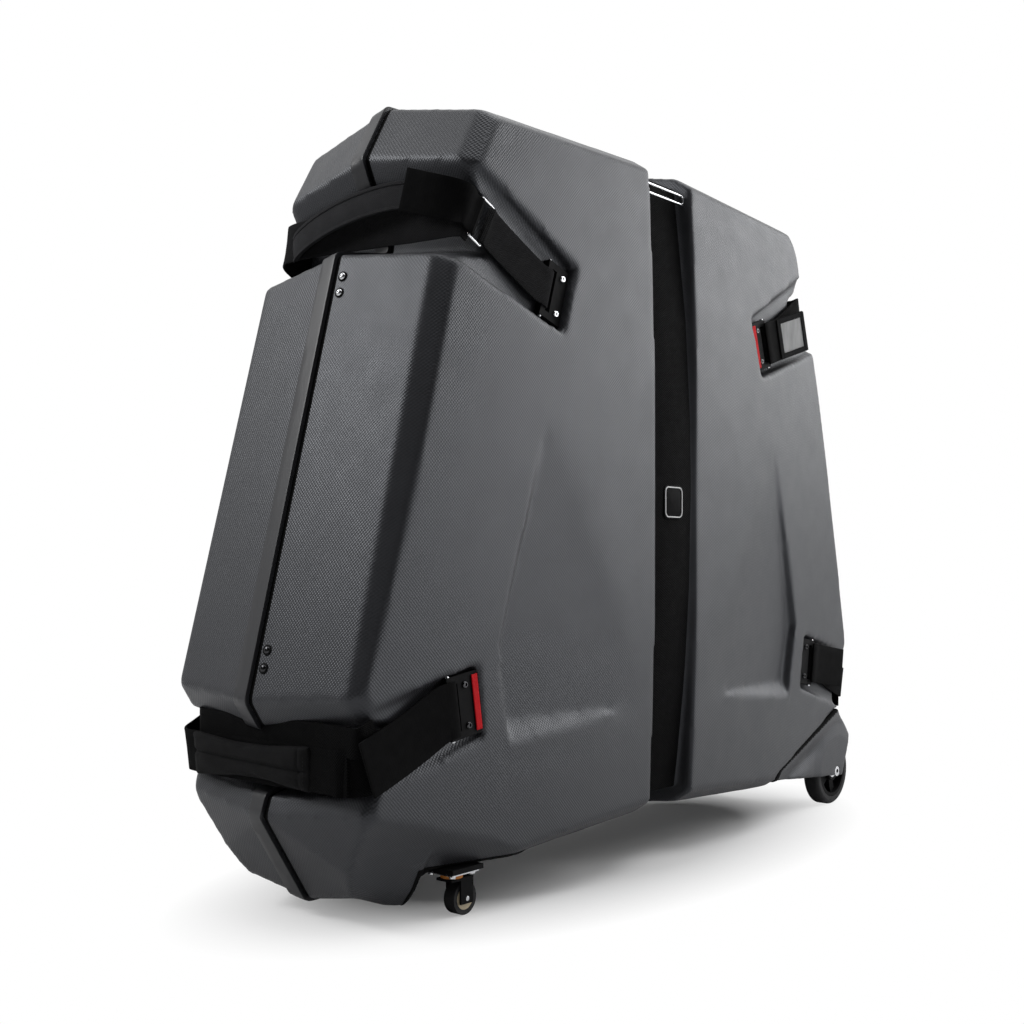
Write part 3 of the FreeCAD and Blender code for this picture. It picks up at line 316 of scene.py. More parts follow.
class Finish(Nodes):
    """A material under construction: a Principled shader and short ways to feed it."""

    def __init__(self, name, colour, roughness, metallic=0.0, shine=0.5):
        self.material = bpy.data.materials.new(name)
        self.material.use_nodes = True
        super().__init__(self.material.node_tree)
        self.shader = self.tree.nodes["Principled BSDF"]
        self.shader.inputs["Base Color"].default_value = (*colour, 1.0)
        self.shader.inputs["Roughness"].default_value = roughness
        self.shader.inputs["Metallic"].default_value = metallic
        self.shader.inputs["Specular IOR Level"].default_value = shine
        self.colour = colour
        self.height = None

    def noise(self, scale, detail=3.0, stretch=(1.0, 1.0, 1.0)):
        mapping = self.node("ShaderNodeMapping")
        mapping.inputs["Scale"].default_value = stretch
        self.link(self.place("Object"), mapping.inputs["Vector"])
        texture = self.node("ShaderNodeTexNoise")
        texture.inputs["Scale"].default_value = scale
        texture.inputs["Detail"].default_value = detail
        self.link(mapping.outputs["Vector"], texture.inputs["Vector"])
        return texture.outputs["Fac"]

    def wave(self, across, pitch):
        """A sine from -1 to 1 along one coordinate, with the pitch in metres."""
        return self.math("SINE", self.math("MULTIPLY", across, 2.0 * math.pi / pitch))

    def weave(self, along, along_pitch, across, across_pitch):
        """Two crossed sines, from -1 to 1."""
        return self.math("MULTIPLY", self.wave(along, along_pitch), self.wave(across, across_pitch))

    def mottled(self, pattern, share, patches, patch_share):
        """A pattern from -1 to 1 and patches from 0 to 1, each brought to its share and added."""
        shared = self.ranged(pattern, 0.0, share, -1.0, 1.0)
        return self.math("ADD", shared, self.ranged(patches, 0.0, patch_share))

    def uv(self):
        parts = self.split("UV")
        return parts["X"], parts["Y"]

    def tint(self, value, dark, light):
        """Base colour between two strengths of the finish's own colour."""
        mix = self.node("ShaderNodeMix", data_type="RGBA")
        mix.inputs["A"].default_value = (*[c * dark for c in self.colour], 1.0)
        mix.inputs["B"].default_value = (*[c * light for c in self.colour], 1.0)
        self.link(value, mix.inputs["Factor"])
        self.link(mix.outputs["Result"], self.shader.inputs["Base Color"])

    def rough(self, value, low, high):
        self.link(self.ranged(value, low, high), self.shader.inputs["Roughness"])

    def bump(self, value, depth, strength=1.0):
        """Adds relief, its depth in metres. A second call goes on top of the first."""
        made = self.node("ShaderNodeBump")
        made.inputs["Strength"].default_value = strength
        made.inputs["Distance"].default_value = depth
        self.link(value, made.inputs["Height"])
        if self.height:
            self.link(self.height, made.inputs["Normal"])
        self.height = made.outputs["Normal"]
        self.link(self.height, self.shader.inputs["Normal"])


FINISHES = {}


def finish(name):
    """A material by name, made the first time it is asked for."""
    if name not in FINISHES:
        FINISHES[name] = FINISH_MAKERS[name]().material
    return FINISHES[name]


def moulded_shell():
    """Satin charcoal sheet plastic with a fine dot weave."""
    made = Finish("moulded_shell", colours().shell, 0.42, shine=0.46)
    pitch = sizes().dot_pitch
    across, up = made.uv()
    dots = made.weave(across, pitch, up, pitch)
    made.tint(made.mottled(dots, 0.5, made.noise(9.0), 0.5), 0.82, 1.16)
    made.rough(made.noise(30.0, 4.0), 0.36, 0.5)
    made.bump(made.noise(14.0, 2.0), 0.0006, 0.5)
    made.bump(dots, 0.00035, 0.45)
    made.shader.inputs["Specular Tint"].default_value = (0.89, 0.925, 1.0, 1.0)
    return made


def smooth_lip():
    """The same plastic without the weave."""
    made = Finish("smooth_lip", colours().shell, 0.4, shine=0.36)
    made.tint(made.noise(25.0), 0.95, 1.25)
    made.rough(made.noise(60.0, 5.0), 0.34, 0.48)
    made.bump(made.noise(900.0, 3.0), 0.00012, 0.5)
    return made


def seal_rubber():
    made = Finish("seal_rubber", (0.004, 0.004, 0.004), 0.8, shine=0.05)
    made.tint(made.noise(60.0), 0.6, 1.6)
    made.bump(made.noise(700.0), 0.0002, 0.5)
    return made


def satin_black():
    """Moulded black plastic with a fine grain."""
    made = Finish("satin_black", colours().black, 0.42, shine=0.06)
    made.tint(made.noise(40.0), 0.7, 1.6)
    made.rough(made.noise(90.0, 4.0), 0.56, 0.74)
    made.bump(made.noise(1600.0, 2.0), 0.00008, 0.5)
    return made


def bright_steel():
    """Plated steel, lightly brushed."""
    made = Finish("bright_steel", (0.66, 0.67, 0.69), 0.2, 1.0)
    made.tint(made.noise(60.0), 0.8, 1.12)
    made.rough(made.noise(220.0, 4.0, (1.0, 1.0, 6.0)), 0.12, 0.3)
    made.bump(made.noise(500.0, 3.0, (1.0, 1.0, 8.0)), 0.00004, 0.4)
    return made


def blackened_steel():
    """Dark plated screws and rivets that still shine."""
    made = Finish("blackened_steel", (0.035, 0.035, 0.037), 0.2, 1.0)
    made.tint(made.noise(90.0), 0.7, 1.8)
    made.rough(made.noise(260.0, 4.0), 0.14, 0.34)
    return made


def woven(name, along_pitch, across_pitch, shade_by=1.0):
    """Black woven webbing: rows along it, ribs across it, and a paler worn fuzz."""
    made = Finish(name, [channel * shade_by for channel in colours().webbing], 0.85, shine=0.05)
    along, across = made.uv()
    weave = made.weave(along, along_pitch, across, across_pitch)
    made.tint(made.mottled(weave, 0.55, made.noise(45.0, 5.0), 0.45), 0.5, 1.9)
    made.rough(made.noise(80.0), 0.72, 0.95)
    made.bump(weave, 0.0005, 0.8)
    return made


def webbing():
    return woven("webbing", 0.0026, 0.0034)


def dark_webbing():
    return woven("dark_webbing", 0.0026, 0.0034, 0.25)


def band_cloth():
    return woven("band_cloth", 0.0022, 0.0022, 2.6)


def hook_cloth():
    """Dull black loop cloth of the flap ends, with faint ribs across it."""
    made = Finish("hook_cloth", [channel * 0.3 for channel in colours().webbing], 0.95, shine=0.06)
    ribs = made.wave(made.uv()[0], 0.0034)
    made.tint(made.mottled(ribs, 0.05, made.noise(70.0, 4.0), 0.9), 0.5, 1.9)
    made.rough(made.noise(90.0), 0.8, 0.95)
    made.bump(ribs, 0.00005, 0.5)
    made.bump(made.noise(60.0, 3.0), 0.0008, 0.5)
    return made


def wide_webbing():
    """Webbing of the middle strap, with a paler line along each edge."""
    made = woven("wide_webbing", 0.0034, 0.0062, 0.4)
    across = made.uv()[1]
    edge = made.ranged(made.math("ABSOLUTE", across), 0.0, 1.0, 0.0425, 0.0438)
    worn = made.math("ADD", made.ranged(made.noise(45.0, 5.0), 0.0, 0.5), made.math("MULTIPLY", edge, 2.2))
    made.tint(worn, 0.5, 1.6)
    return made


def handle_cloth():
    """Close woven cloth of the padded handles."""
    made = Finish("handle_cloth", [channel * 0.45 for channel in colours().webbing], 0.9, shine=0.12)
    parts = made.split("Object")
    weave = made.weave(parts["Y"], 0.0019, parts["Z"], 0.0019)
    made.tint(made.mottled(weave, 0.5, made.noise(60.0, 5.0), 0.5), 0.7, 2.3)
    made.rough(made.noise(90.0), 0.78, 0.96)
    made.bump(made.noise(45.0, 3.0), 0.0012, 0.4)
    made.bump(weave, 0.0003, 0.7)
    return made


def stitch_thread():
    made = Finish("stitch_thread", (0.012, 0.012, 0.013), 0.8, shine=0.15)
    made.tint(made.noise(700.0), 0.5, 1.8)
    made.bump(made.noise(1500.0, 2.0), 0.0001, 0.6)
    return made


def clear_film():
    """Flexible clear film over the card pocket, a little wavy, with a painted reflection of long pale streaks
    in its colour.
    """
    made = Finish("clear_film", (0.085, 0.087, 0.09), 0.3, shine=0.3)
    made.shader.inputs["Alpha"].default_value = 0.7
    # Painted reflection: long pale streaks, stretched up the film, are tinted into its colour.
    made.tint(made.noise(40.0, 3.0, (1.0, 1.0, 0.25)), 0.3, 2.8)
    made.rough(made.noise(50.0), 0.2, 0.5)
    made.bump(made.noise(45.0, 2.0, (1.0, 1.0, 0.4)), 0.0014, 0.8)
    made.material.surface_render_method = "BLENDED"
    return made


def patch_rubber():
    """Soft moulded patch on the middle strap."""
    made = Finish("patch_rubber", (0.006, 0.006, 0.0065), 0.6, shine=0.03)
    made.tint(made.noise(120.0), 0.7, 1.5)
    made.rough(made.noise(90.0), 0.5, 0.7)
    made.bump(made.noise(1200.0), 0.0001, 0.5)
    return made


def pale_print():
    """Raised pale line round the bare label."""
    made = Finish("pale_print", (0.78, 0.78, 0.79), 0.6)
    made.tint(made.noise(200.0), 0.85, 1.1)
    made.rough(made.noise(90.0), 0.5, 0.7)
    return made


def red_cloth():
    made = Finish("red_cloth", (0.62, 0.008, 0.014), 0.7, shine=0.15)
    parts = made.split("Object")
    weave = made.weave(parts["X"], 0.0014, parts["Z"], 0.0014)
    made.tint(made.ranged(weave, 0.0, 1.0, -1.0, 1.0), 0.85, 1.12)
    made.rough(made.noise(90.0), 0.6, 0.8)
    made.bump(weave, 0.0002, 0.6)
    return made


def moulded_plastic(name, colour):
    made = Finish(name, colour, 0.45)
    made.tint(made.noise(70.0), 0.85, 1.1)
    made.rough(made.noise(120.0), 0.36, 0.55)
    made.bump(made.noise(900.0), 0.00008, 0.5)
    return made


def orange_plastic():
    return moulded_plastic("orange_plastic", (0.62, 0.21, 0.025))


def cream_plastic():
    return moulded_plastic("cream_plastic", (0.62, 0.52, 0.36))


def tyre_rubber():
    """Dull dark rubber with scuffs."""
    made = Finish("tyre_rubber", (0.013, 0.013, 0.014), 0.75, shine=0.3)
    made.tint(made.noise(55.0, 5.0), 0.6, 1.7)
    made.rough(made.noise(140.0, 4.0), 0.6, 0.85)
    made.bump(made.noise(420.0, 4.0), 0.0003, 0.5)
    return made


def grey_foam():
    """Open-celled lining foam."""
    made = Finish("grey_foam", (0.05, 0.05, 0.053), 0.95)
    cells = made.node("ShaderNodeTexVoronoi")
    cells.inputs["Scale"].default_value = 420.0
    made.link(made.place("Object"), cells.inputs["Vector"])
    made.tint(cells.outputs["Distance"], 0.5, 1.5)
    made.bump(cells.outputs["Distance"], 0.0006, 0.7)
    return made


FINISH_MAKERS = {maker.__name__: maker for maker in (
    moulded_shell, smooth_lip, seal_rubber, satin_black, bright_steel, blackened_steel, webbing, dark_webbing,
    band_cloth, hook_cloth, wide_webbing, pale_print, handle_cloth, stitch_thread, clear_film, patch_rubber,
    red_cloth, orange_plastic, cream_plastic, tyre_rubber, grey_foam)}


# Moulded shells

# The skin: its run past the seam, where its side begins, half the strap's channel and the share of faces kept
OVERHANG = 0.04
SIDE_FROM = 0.15
CHANNEL_HALF = 0.051
SKIN_KEPT = 0.30
TRIM_THICK = 0.0012

# The side recess: its corners as (distance from the middle, height), its depth and its slanted ledge
RECESS_TOP = (0.287, 0.596)
RECESS_OUTER = (0.366, 0.321)
RECESS_FOOT = (0.348, 0.223)
RECESS_INNER = (0.075, 0.223)
RECESS_DEPTH = 0.013
CREASE_REACH = (0.075, 0.045)
CREASE_ROUNDS = 220
SHARP_REACH = (0.016, 0.036)
SHARP_STOP = (0.16, 0.223)
CHANNEL_REACH = (CHANNEL_HALF + 0.014, CHANNEL_HALF + 0.044)
LEDGE_SPAN = (0.15, RECESS_FOOT[0], RECESS_FOOT[0], RECESS_FOOT[0] + 0.005)
LEDGE_RUN = 0.015
LEDGE_HEIGHTS = (0.180, 0.215, 0.230, 0.240)
LEDGE_MIDDLE = 0.217
LEDGE_SOFT = (0.018, 0.012)
LEDGE_ROUNDS = 6
PLAIN_SPAN = (0.16, 0.33)
PLAIN_HEIGHTS = (0.185, 0.210)

# The chin's lower corner: where it is drawn down along the length, across and in height, and how far
CHIN_LENGTH = (-0.545, -0.485, -0.458, -0.450)
CHIN_ACROSS = (0.086, 0.106, 0.142, 0.172)
CHIN_HEIGHT = (0.095, 0.060)
CHIN_DROP = 0.018

# The cut at the rear of the head: its two ends as (length, height), its bulge, and how far that reaches
HEAD_CUT = ((0.350, 0.949), (0.388, 0.887))
HEAD_FILL = 0.007
HEAD_REACH = (0.022, 0.010)
HEAD_ACROSS = (0.02, 0.08)

# The planes that cut the caster bay's edge out of the skin, as a place and the way to what is cut off
BAY_PLANES = (((0.0, 0.0, 0.0662), (0.0, 0.0, 1.0)), ((-0.4625, 0.0, 0.0), (-1.0, 0.0, 0.0)),
              ((-0.300, 0.0, 0.0), (1.0, 0.0, 0.0)), ((0.0, 0.087, 0.0), (0.0, -1.0, 0.0)))


def from_line(points, start, stop):
    """Distance of (x, z) points from a straight line between two places."""
    start, stop = np.array(start), np.array(stop)
    run = stop - start
    share = np.clip(((points - start) @ run) / (run @ run), 0.0, 1.0)
    return np.linalg.norm(points - start - share[:, None] * run, axis=1)


def smooth_where(skin, name, weight, rounds):
    """Smooths a skin where its points have weight."""
    group = skin.vertex_groups.new(name=name)
    for index in np.flatnonzero(weight > 0.01):
        group.add([int(index)], float(weight[index]), "REPLACE")
    modify(skin, "SMOOTH", factor=0.5, iterations=rounds, vertex_group=name)


def melt_crease(skin):
    """Lets the floor of each side recess run out into the side with no crease."""
    points = points_of(skin)
    flat = np.stack([np.abs(points[:, 0]), points[:, 2]], 1)
    sharp = np.minimum(from_line(flat, RECESS_TOP, RECESS_OUTER), from_line(flat, RECESS_OUTER, RECESS_FOOT))
    sharp = np.minimum(sharp, from_line(flat, RECESS_FOOT, SHARP_STOP))
    weight = ramp(from_line(flat, RECESS_TOP, RECESS_INNER), *CREASE_REACH)
    weight *= ramp(sharp, *SHARP_REACH) * ramp(flat[:, 0], *CHANNEL_REACH) * (points[:, 1] > SIDE_FROM)
    smooth_where(skin, "crease", weight, CREASE_ROUNDS)


def slope_ledge(skin):
    """Slants the ledge at the foot of each side recess, widest at its outer end."""
    points = points_of(skin)
    x, y, z = np.abs(points[:, 0]), points[:, 1], points[:, 2]
    side = y > SIDE_FROM
    plain = side & (x > PLAIN_SPAN[0]) & (x < PLAIN_SPAN[1]) & (z > PLAIN_HEIGHTS[0]) & (z < PLAIN_HEIGHTS[1])
    terms = np.stack([np.ones_like(x), x, z], 1)
    plane = np.linalg.lstsq(terms[plain], y[plain], rcond=None)[0]
    depth = terms @ plane - y
    floor = RECESS_DEPTH * (x - RECESS_INNER[0]) / (RECESS_FOOT[0] - RECESS_INNER[0])
    outer = np.clip(1.0 - depth / np.maximum(floor, 0.002), 0.0, 1.0)
    share = hump(x, *LEDGE_SPAN) * side
    points[:, 2] -= LEDGE_RUN * share * outer * hump(z, *LEDGE_HEIGHTS)
    set_points(skin, points)
    smooth_where(skin, "ledge", share * ramp(np.abs(z - LEDGE_MIDDLE), *LEDGE_SOFT), LEDGE_ROUNDS)


def drop_chin(skin):
    """Draws the chin's lower corner down before the caster bay, as the photograph shows it."""
    points = points_of(skin)
    x, y, z = points.T
    points[:, 2] -= CHIN_DROP * hump(x, *CHIN_LENGTH) * hump(y, *CHIN_ACROSS) * ramp(z, *CHIN_HEIGHT)
    set_points(skin, points)


def fill_rear_head(skin):
    """Bulges the flat cut at the rear of the head into a fuller round."""
    points = points_of(skin)
    start, stop = np.array(HEAD_CUT[0]), np.array(HEAD_CUT[1])
    run = stop - start
    flat = points[:, [0, 2]] - start
    share = np.clip(flat @ run / (run @ run), 0.0, 1.0)
    out = np.array((-run[1], run[0])) / np.linalg.norm(run)
    weight = np.sin(np.pi * share) * ramp(np.abs(flat @ out), *HEAD_REACH) * ramp(points[:, 1], *HEAD_ACROSS)
    points[:, [0, 2]] += HEAD_FILL * weight[:, None] * out
    set_points(skin, points)


def bay_edge(skin):
    """The black edge and ceiling of the far caster bay, cut from the skin."""
    edge = copy_of(skin, "far_bay_edge")
    edit_all(edge)
    for place, way in BAY_PLANES:
        bpy.ops.mesh.select_all(action="SELECT")
        bpy.ops.mesh.bisect(plane_co=place, plane_no=way, clear_outer=True)
    end_edit()
    modify(edge, "DISPLACE", strength=0.0008, mid_level=0.0)
    modify(edge, "SOLIDIFY", thickness=TRIM_THICK, offset=-1.0)
    return edge


def soft_skin():
    """Outer skin of the far half, run on past the seam, with every edge softened."""
    skin = node_copy("far_shell", "soft_skin")
    places = points_of(skin)
    select_verts(skin, np.abs(places[:, 1]) < 1e-4)
    bpy.ops.mesh.select_mode(type="FACE")
    bpy.ops.mesh.delete(type="FACE")
    end_edit()
    places = points_of(skin)
    chosen = np.zeros(len(places), bool)
    chosen[places[:, 1].argmax()] = True
    select_verts(skin, chosen)
    bpy.ops.mesh.select_linked()
    bpy.ops.mesh.select_all(action="INVERT")
    bpy.ops.mesh.delete(type="VERT")
    bpy.ops.mesh.select_mode(type="EDGE")
    bpy.ops.mesh.select_all(action="DESELECT")
    bpy.ops.mesh.select_non_manifold()
    bpy.ops.mesh.extrude_edges_move(TRANSFORM_OT_translate={"value": (0, -OVERHANG, 0)})
    bpy.ops.mesh.edge_face_add()
    bpy.ops.mesh.select_all(action="SELECT")
    bpy.ops.mesh.normals_make_consistent(inside=False)
    end_edit()
    modify(skin, "REMESH", mode="VOXEL", voxel_size=sizes().voxel)
    modify(skin, "SMOOTH", factor=0.5, iterations=8)
    melt_crease(skin)
    slope_ledge(skin)
    drop_chin(skin)
    fill_rear_head(skin)
    return skin


class CASE_OT_shells(bpy.types.Operator):
    """Builds the two moulded halves with the edges of their caster bays, the seam lip and the rim seal"""
    bl_idname = "case.shells"
    bl_label = "Shells"

    def execute(self, context):
        skin = soft_skin()
        far_edge = bay_edge(skin)
        near_edge = mirrored_copy(far_edge, "near_bay_edge")
        for edge, half in ((far_edge, "far"), (near_edge, "near")):
            dress(edge, finish("seal_rubber"), half + "_half", "seal")
        modify(skin, "DECIMATE", ratio=SKIN_KEPT)

        lip = copy_of(skin, "seam_lip_soft")
        cut_off(lip, 0.0, True)
        cut_off(lip, sizes().lip_width, False)
        select_verts(lip, np.abs(points_of(lip)[:, 0]) < CHANNEL_HALF)
        bpy.ops.mesh.delete(type="VERT")
        end_edit()
        modify(lip, "SOLIDIFY", thickness=sizes().lip_rise, offset=1.0)
        ease(lip, 0.0012, 50)
        dress(lip, finish("smooth_lip"), "far_half", "lip", "seam_lip")

        seal = copy_of(skin, "rim_seal_soft")
        cut_off(seal, -sizes().seam_gap + 0.0004, True)
        cut_off(seal, 0.0, False)
        modify(seal, "DISPLACE", strength=-0.0012, mid_level=0.0)
        modify(seal, "SOLIDIFY", thickness=0.002, offset=-1.0)
        dress(seal, finish("seal_rubber"), "far_half", "seal", "rim_seal")

        far = copy_of(skin, "far_shell_soft")
        cut_off(far, 0.0, True)
        near = mirrored_copy(skin, "near_shell_soft")
        cut_off(near, -sizes().seam_gap, False)
        for shell, half in ((far, "far"), (near, "near")):
            modify(shell, "SOLIDIFY", thickness=sizes().wall, offset=-1.0)
            box_uv(shell)
            dress(shell, finish("moulded_shell"), half + "_half", "shell", half + "_shell")
        bpy.data.objects.remove(skin)
        return {"FINISHED"}


# Round and wire pieces

def turned(name, profile, steps=28):
    """A round piece about Z from its (radius, height) outline."""
    mesh = bpy.data.meshes.new(name)
    mesh.from_pydata([(radius, 0.0, height) for radius, height in profile],
                     [(i, i + 1) for i in range(len(profile) - 1)], [])
    obj = bpy.data.objects.new(name, mesh)
    bpy.context.scene.collection.objects.link(obj)
    modify(obj, "SCREW", steps=steps, render_steps=steps, use_merge_vertices=True, merge_threshold=1e-6)
    edit_all(obj)
    bpy.ops.mesh.normals_make_consistent(inside=False)
    end_edit()
    return obj


def set_at(obj, place, axis, roll="Y"):
    """Turns a piece made about Z to another axis and sets it in place."""
    turn = Vector(axis).to_track_quat("Z", roll).to_matrix().to_4x4()
    obj.data.transform(Matrix.Translation(Vector(place)) @ turn)
    return obj


def joined(pieces, name):
    """Several objects as one mesh."""
    activate(pieces[0])
    for piece in pieces[1:]:
        piece.select_set(True)
    bpy.ops.object.join()
    pieces[0].name = name
    return pieces[0]


def wire_ring(name, place, run, across, length, width, radius):
    """A rectangular ring of round wire."""
    ring = primitive("plane", name, size=1.0)
    ring.data.transform(Matrix.Diagonal((length - 2 * radius, width - 2 * radius, 1.0, 1.0)))
    edit_all(ring)
    bpy.ops.mesh.bevel(offset=radius * 1.6, segments=4, affect="VERTICES")
    bpy.ops.mesh.delete(type="ONLY_FACE")
    end_edit()
    bpy.ops.object.convert(target="CURVE")
    ring.data.bevel_depth = radius
    ring.data.bevel_resolution = 4
    bpy.ops.object.convert(target="MESH")
    ring = bpy.context.object
    out = np.cross(run, across)
    turn = Matrix((run, across, out)).transposed().to_4x4()
    ring.data.transform(Matrix.Translation(Vector(place)) @ turn)
    return ring


# Straps

# The brackets with a red tab beside them, and where brackets and straps sit
TABBED = (("lower", "front", "near"), ("upper", "rear", "near"))
TAB_ROOM = 0.0104
POCKET_SIDE = 0.160
BRACKET_EDGE = 0.041
STRAP_START = (-0.012, 0.0085)
CORNER_SIDE = 0.162
CORNER_INSET = 0.014
END_SIDE = 0.134

# The base straps, the flaps over them and the layer behind the lower handle
BASE_STOP = -0.146
TUCKED_STOP = -0.118
TUCK_DROP = 0.010
LAP = 0.0046
RING_SHARE = 0.83
RING_HALF = 0.0125
FLAP_WIDTH = 0.065
FLAP_STAND = 0.0135
FLAP_LIFT = 0.0031
FLAP_WRAPS = (("front", "lower", -0.130), ("rear", "upper", -0.100), ("rear", "lower", -0.112))
REAR_LOWER_LIFTS = (0.012, 0.018, 0.016, 0.004)
FREE_ENDS = {"upper": 0.167, "lower": 0.136}
LEANING_FLAP = (-0.34, 0.94)
BACKING_RUN = ((-0.570, 0.130), (-0.5805, 0.112), (-0.5812, -0.134))
BACKING_LIFT = 0.036
BACKING_WIDTH = 0.033

# The way over a bracket's bar and through a ring, as (step along, step out)
BAR_STEPS = ((-0.0125, 0.002), (-0.0123, 0.0072), (-0.0098, 0.0108), (-0.004, 0.0119), (0.002, 0.0113),
             (0.014, 0.0094))
HOOK_STEPS = ((-0.0035, 0.0), (0.0, 0.0034), (0.0045, 0.0035), (0.0062, 0.001), (0.0062, -0.002))

LABEL_PLACE = (-0.002, 0.504)
LABEL_ROUND = 0.008
LABEL_LINE = 0.0016
STITCH_HALVES = (0.0016, 0.0005, 0.0004)


def unit(vector):
    return np.array(vector, float) / np.linalg.norm(vector)


class Stand:
    """Where a strap bracket stands: its pocket's end, the way to the case end, up its edge and out of it."""
    # The pocket's middle, the way up, the way along and the strap's line at the case end, as (length, height)
    LEVELS = {
        "upper": ((0.2364, 0.7502), (-0.2964, 0.9551), (0.9551, 0.2964), (0.426, 0.8336)),
        "lower": ((0.3978, 0.2587), (0.1529, 0.9882), (0.9882, -0.1529), (0.582, 0.192)),
    }

    def __init__(self, level, end, side):
        middle, up, along, line = self.LEVELS[level]
        self.end = -1 if end == "front" else 1
        self.side = -1 if side == "near" else 1
        self.middle = np.array([self.end * middle[0], self.side * POCKET_SIDE, middle[1]])
        self.up = np.array([self.end * up[0], 0.0, up[1]])
        self.along = np.array([self.end * along[0], 0.0, along[1]])
        self.out = np.array([0.0, self.side, 0.0])
        self.room = TAB_ROOM if (level, end, side) in TABBED else 0.0
        self.edge = BRACKET_EDGE + self.room
        self.begin = self.point(self.edge + STRAP_START[0], 0.0, STRAP_START[1])
        self.corner = np.array([self.end * (line[0] - CORNER_INSET), self.side * CORNER_SIDE, line[1]])
        self.line = line
        self.free_end = FREE_ENDS[level]
        self.run = unit(self.corner - self.begin)
        rise = np.cross(self.out, self.run)
        self.rise = rise if rise[2] > 0 else -rise

    def point(self, along, up, out):
        return self.middle + self.along * along + self.up * up + self.out * out

    def on_run(self, share, out=0.0):
        """A point on the strap's straight run, from 0 at the bracket to 1 at the corner."""
        return self.begin + (self.corner - self.begin) * share + self.out * out

    def bar_loop(self):
        """Stations from inside the bracket's slot over its bar and onto the run."""
        return [(self.point(self.edge + along, 0.0, out), self.up) for along, out in BAR_STEPS]

    def round_end(self, lift, last_y):
        """Stations from the run round the corner and across the end of the case."""
        x = self.end * (self.line[0] + lift)
        return [(self.on_run(0.8), self.rise), (self.corner.copy(), unit(self.rise + UPRIGHT)),
                (np.array([x, self.side * END_SIDE, self.line[1]]), UPRIGHT),
                (np.array([x, last_y, self.line[1]]), UPRIGHT)]


def rounded_run(stations, rounds=3):
    """Stations of (place, way across) with their corners cut smooth, as rows of six numbers."""
    run = np.array([np.concatenate(station) for station in stations])
    for _ in range(rounds):
        before, after = run[:-1], run[1:]
        cut = np.empty((2 * len(before), 6))
        cut[0::2] = 0.75 * before + 0.25 * after
        cut[1::2] = 0.25 * before + 0.75 * after
        run = np.vstack([run[:1], cut, run[-1:]])
    return run


def ribbon(name, stations, width, thick, rows=6, step=0.004, crown=0.0):
    """A strap laid through stations of (place, way across), with a UV map in metres along and across it."""
    run = rounded_run(stations)
    steps = np.linalg.norm(np.diff(run[:, :3], axis=0), axis=1)
    along = np.concatenate([[0.0], np.cumsum(steps)])
    count = max(int(along[-1] / step), 6)
    strap = primitive("grid", name, x_subdivisions=count, y_subdivisions=rows, size=1.0)
    flat = points_of(strap)
    way = (flat[:, 0] + 0.5) * along[-1]
    over = flat[:, 1] * width
    laid = np.stack([np.interp(way, along, run[:, i]) for i in range(6)], 1)
    ahead = np.stack([np.interp(way + 1e-3, along, run[:, i]) for i in range(3)], 1)
    behind = np.stack([np.interp(way - 1e-3, along, run[:, i]) for i in range(3)], 1)
    heading = ahead - behind
    heading /= np.linalg.norm(heading, axis=1, keepdims=True)
    across = laid[:, 3:] - heading * (laid[:, 3:] * heading).sum(1, keepdims=True)
    across /= np.linalg.norm(across, axis=1, keepdims=True)
    out = np.cross(heading, across)
    bow = crown * (1.0 - (2.0 * over / width) ** 2)
    set_points(strap, laid[:, :3] + across * over[:, None] + out * bow[:, None])
    corner_vertex = np.empty(len(strap.data.loops), np.int32)
    strap.data.loops.foreach_get("vertex_index", corner_vertex)
    layer = strap.data.uv_layers[0]
    layer.data.foreach_set("uv", np.stack([way, over], 1)[corner_vertex].astype(np.float32).ravel())
    modify(strap, "SOLIDIFY", thickness=thick, offset=0.0)
    ease(strap, thick * 0.3, 60)
    return strap


def strap_uv(obj):
    """UV map in metres for a strap that runs over the top, down the side and under the case."""
    box_uv(obj)
    layer = obj.data.uv_layers["UVMap"]
    flat = np.empty(len(obj.data.loops) * 2, np.float32)
    layer.data.foreach_get("uv", flat)
    layer.data.foreach_set("uv", np.ascontiguousarray(flat.reshape(-1, 2)[:, ::-1]).ravel())


def stitch_row(name, start, stop, out, pitch=0.0042):
    """A row of thread stitches standing on a surface."""
    start, stop = np.array(start), np.array(stop)
    span = np.linalg.norm(stop - start)
    count = max(int(span / pitch), 2)
    row = primitive("ico_sphere", name, subdivisions=1, radius=1.0)
    run = (stop - start) / span
    across = np.cross(out, run)
    length, width, height = STITCH_HALVES
    turn = Matrix((run * length, across * width, np.array(out) * height)).transposed().to_4x4()
    row.data.transform(Matrix.Translation(Vector(start)) @ turn)
    modify(row, "ARRAY", count=count, use_relative_offset=False, use_constant_offset=True,
           constant_offset_displace=tuple(run * pitch))
    return row


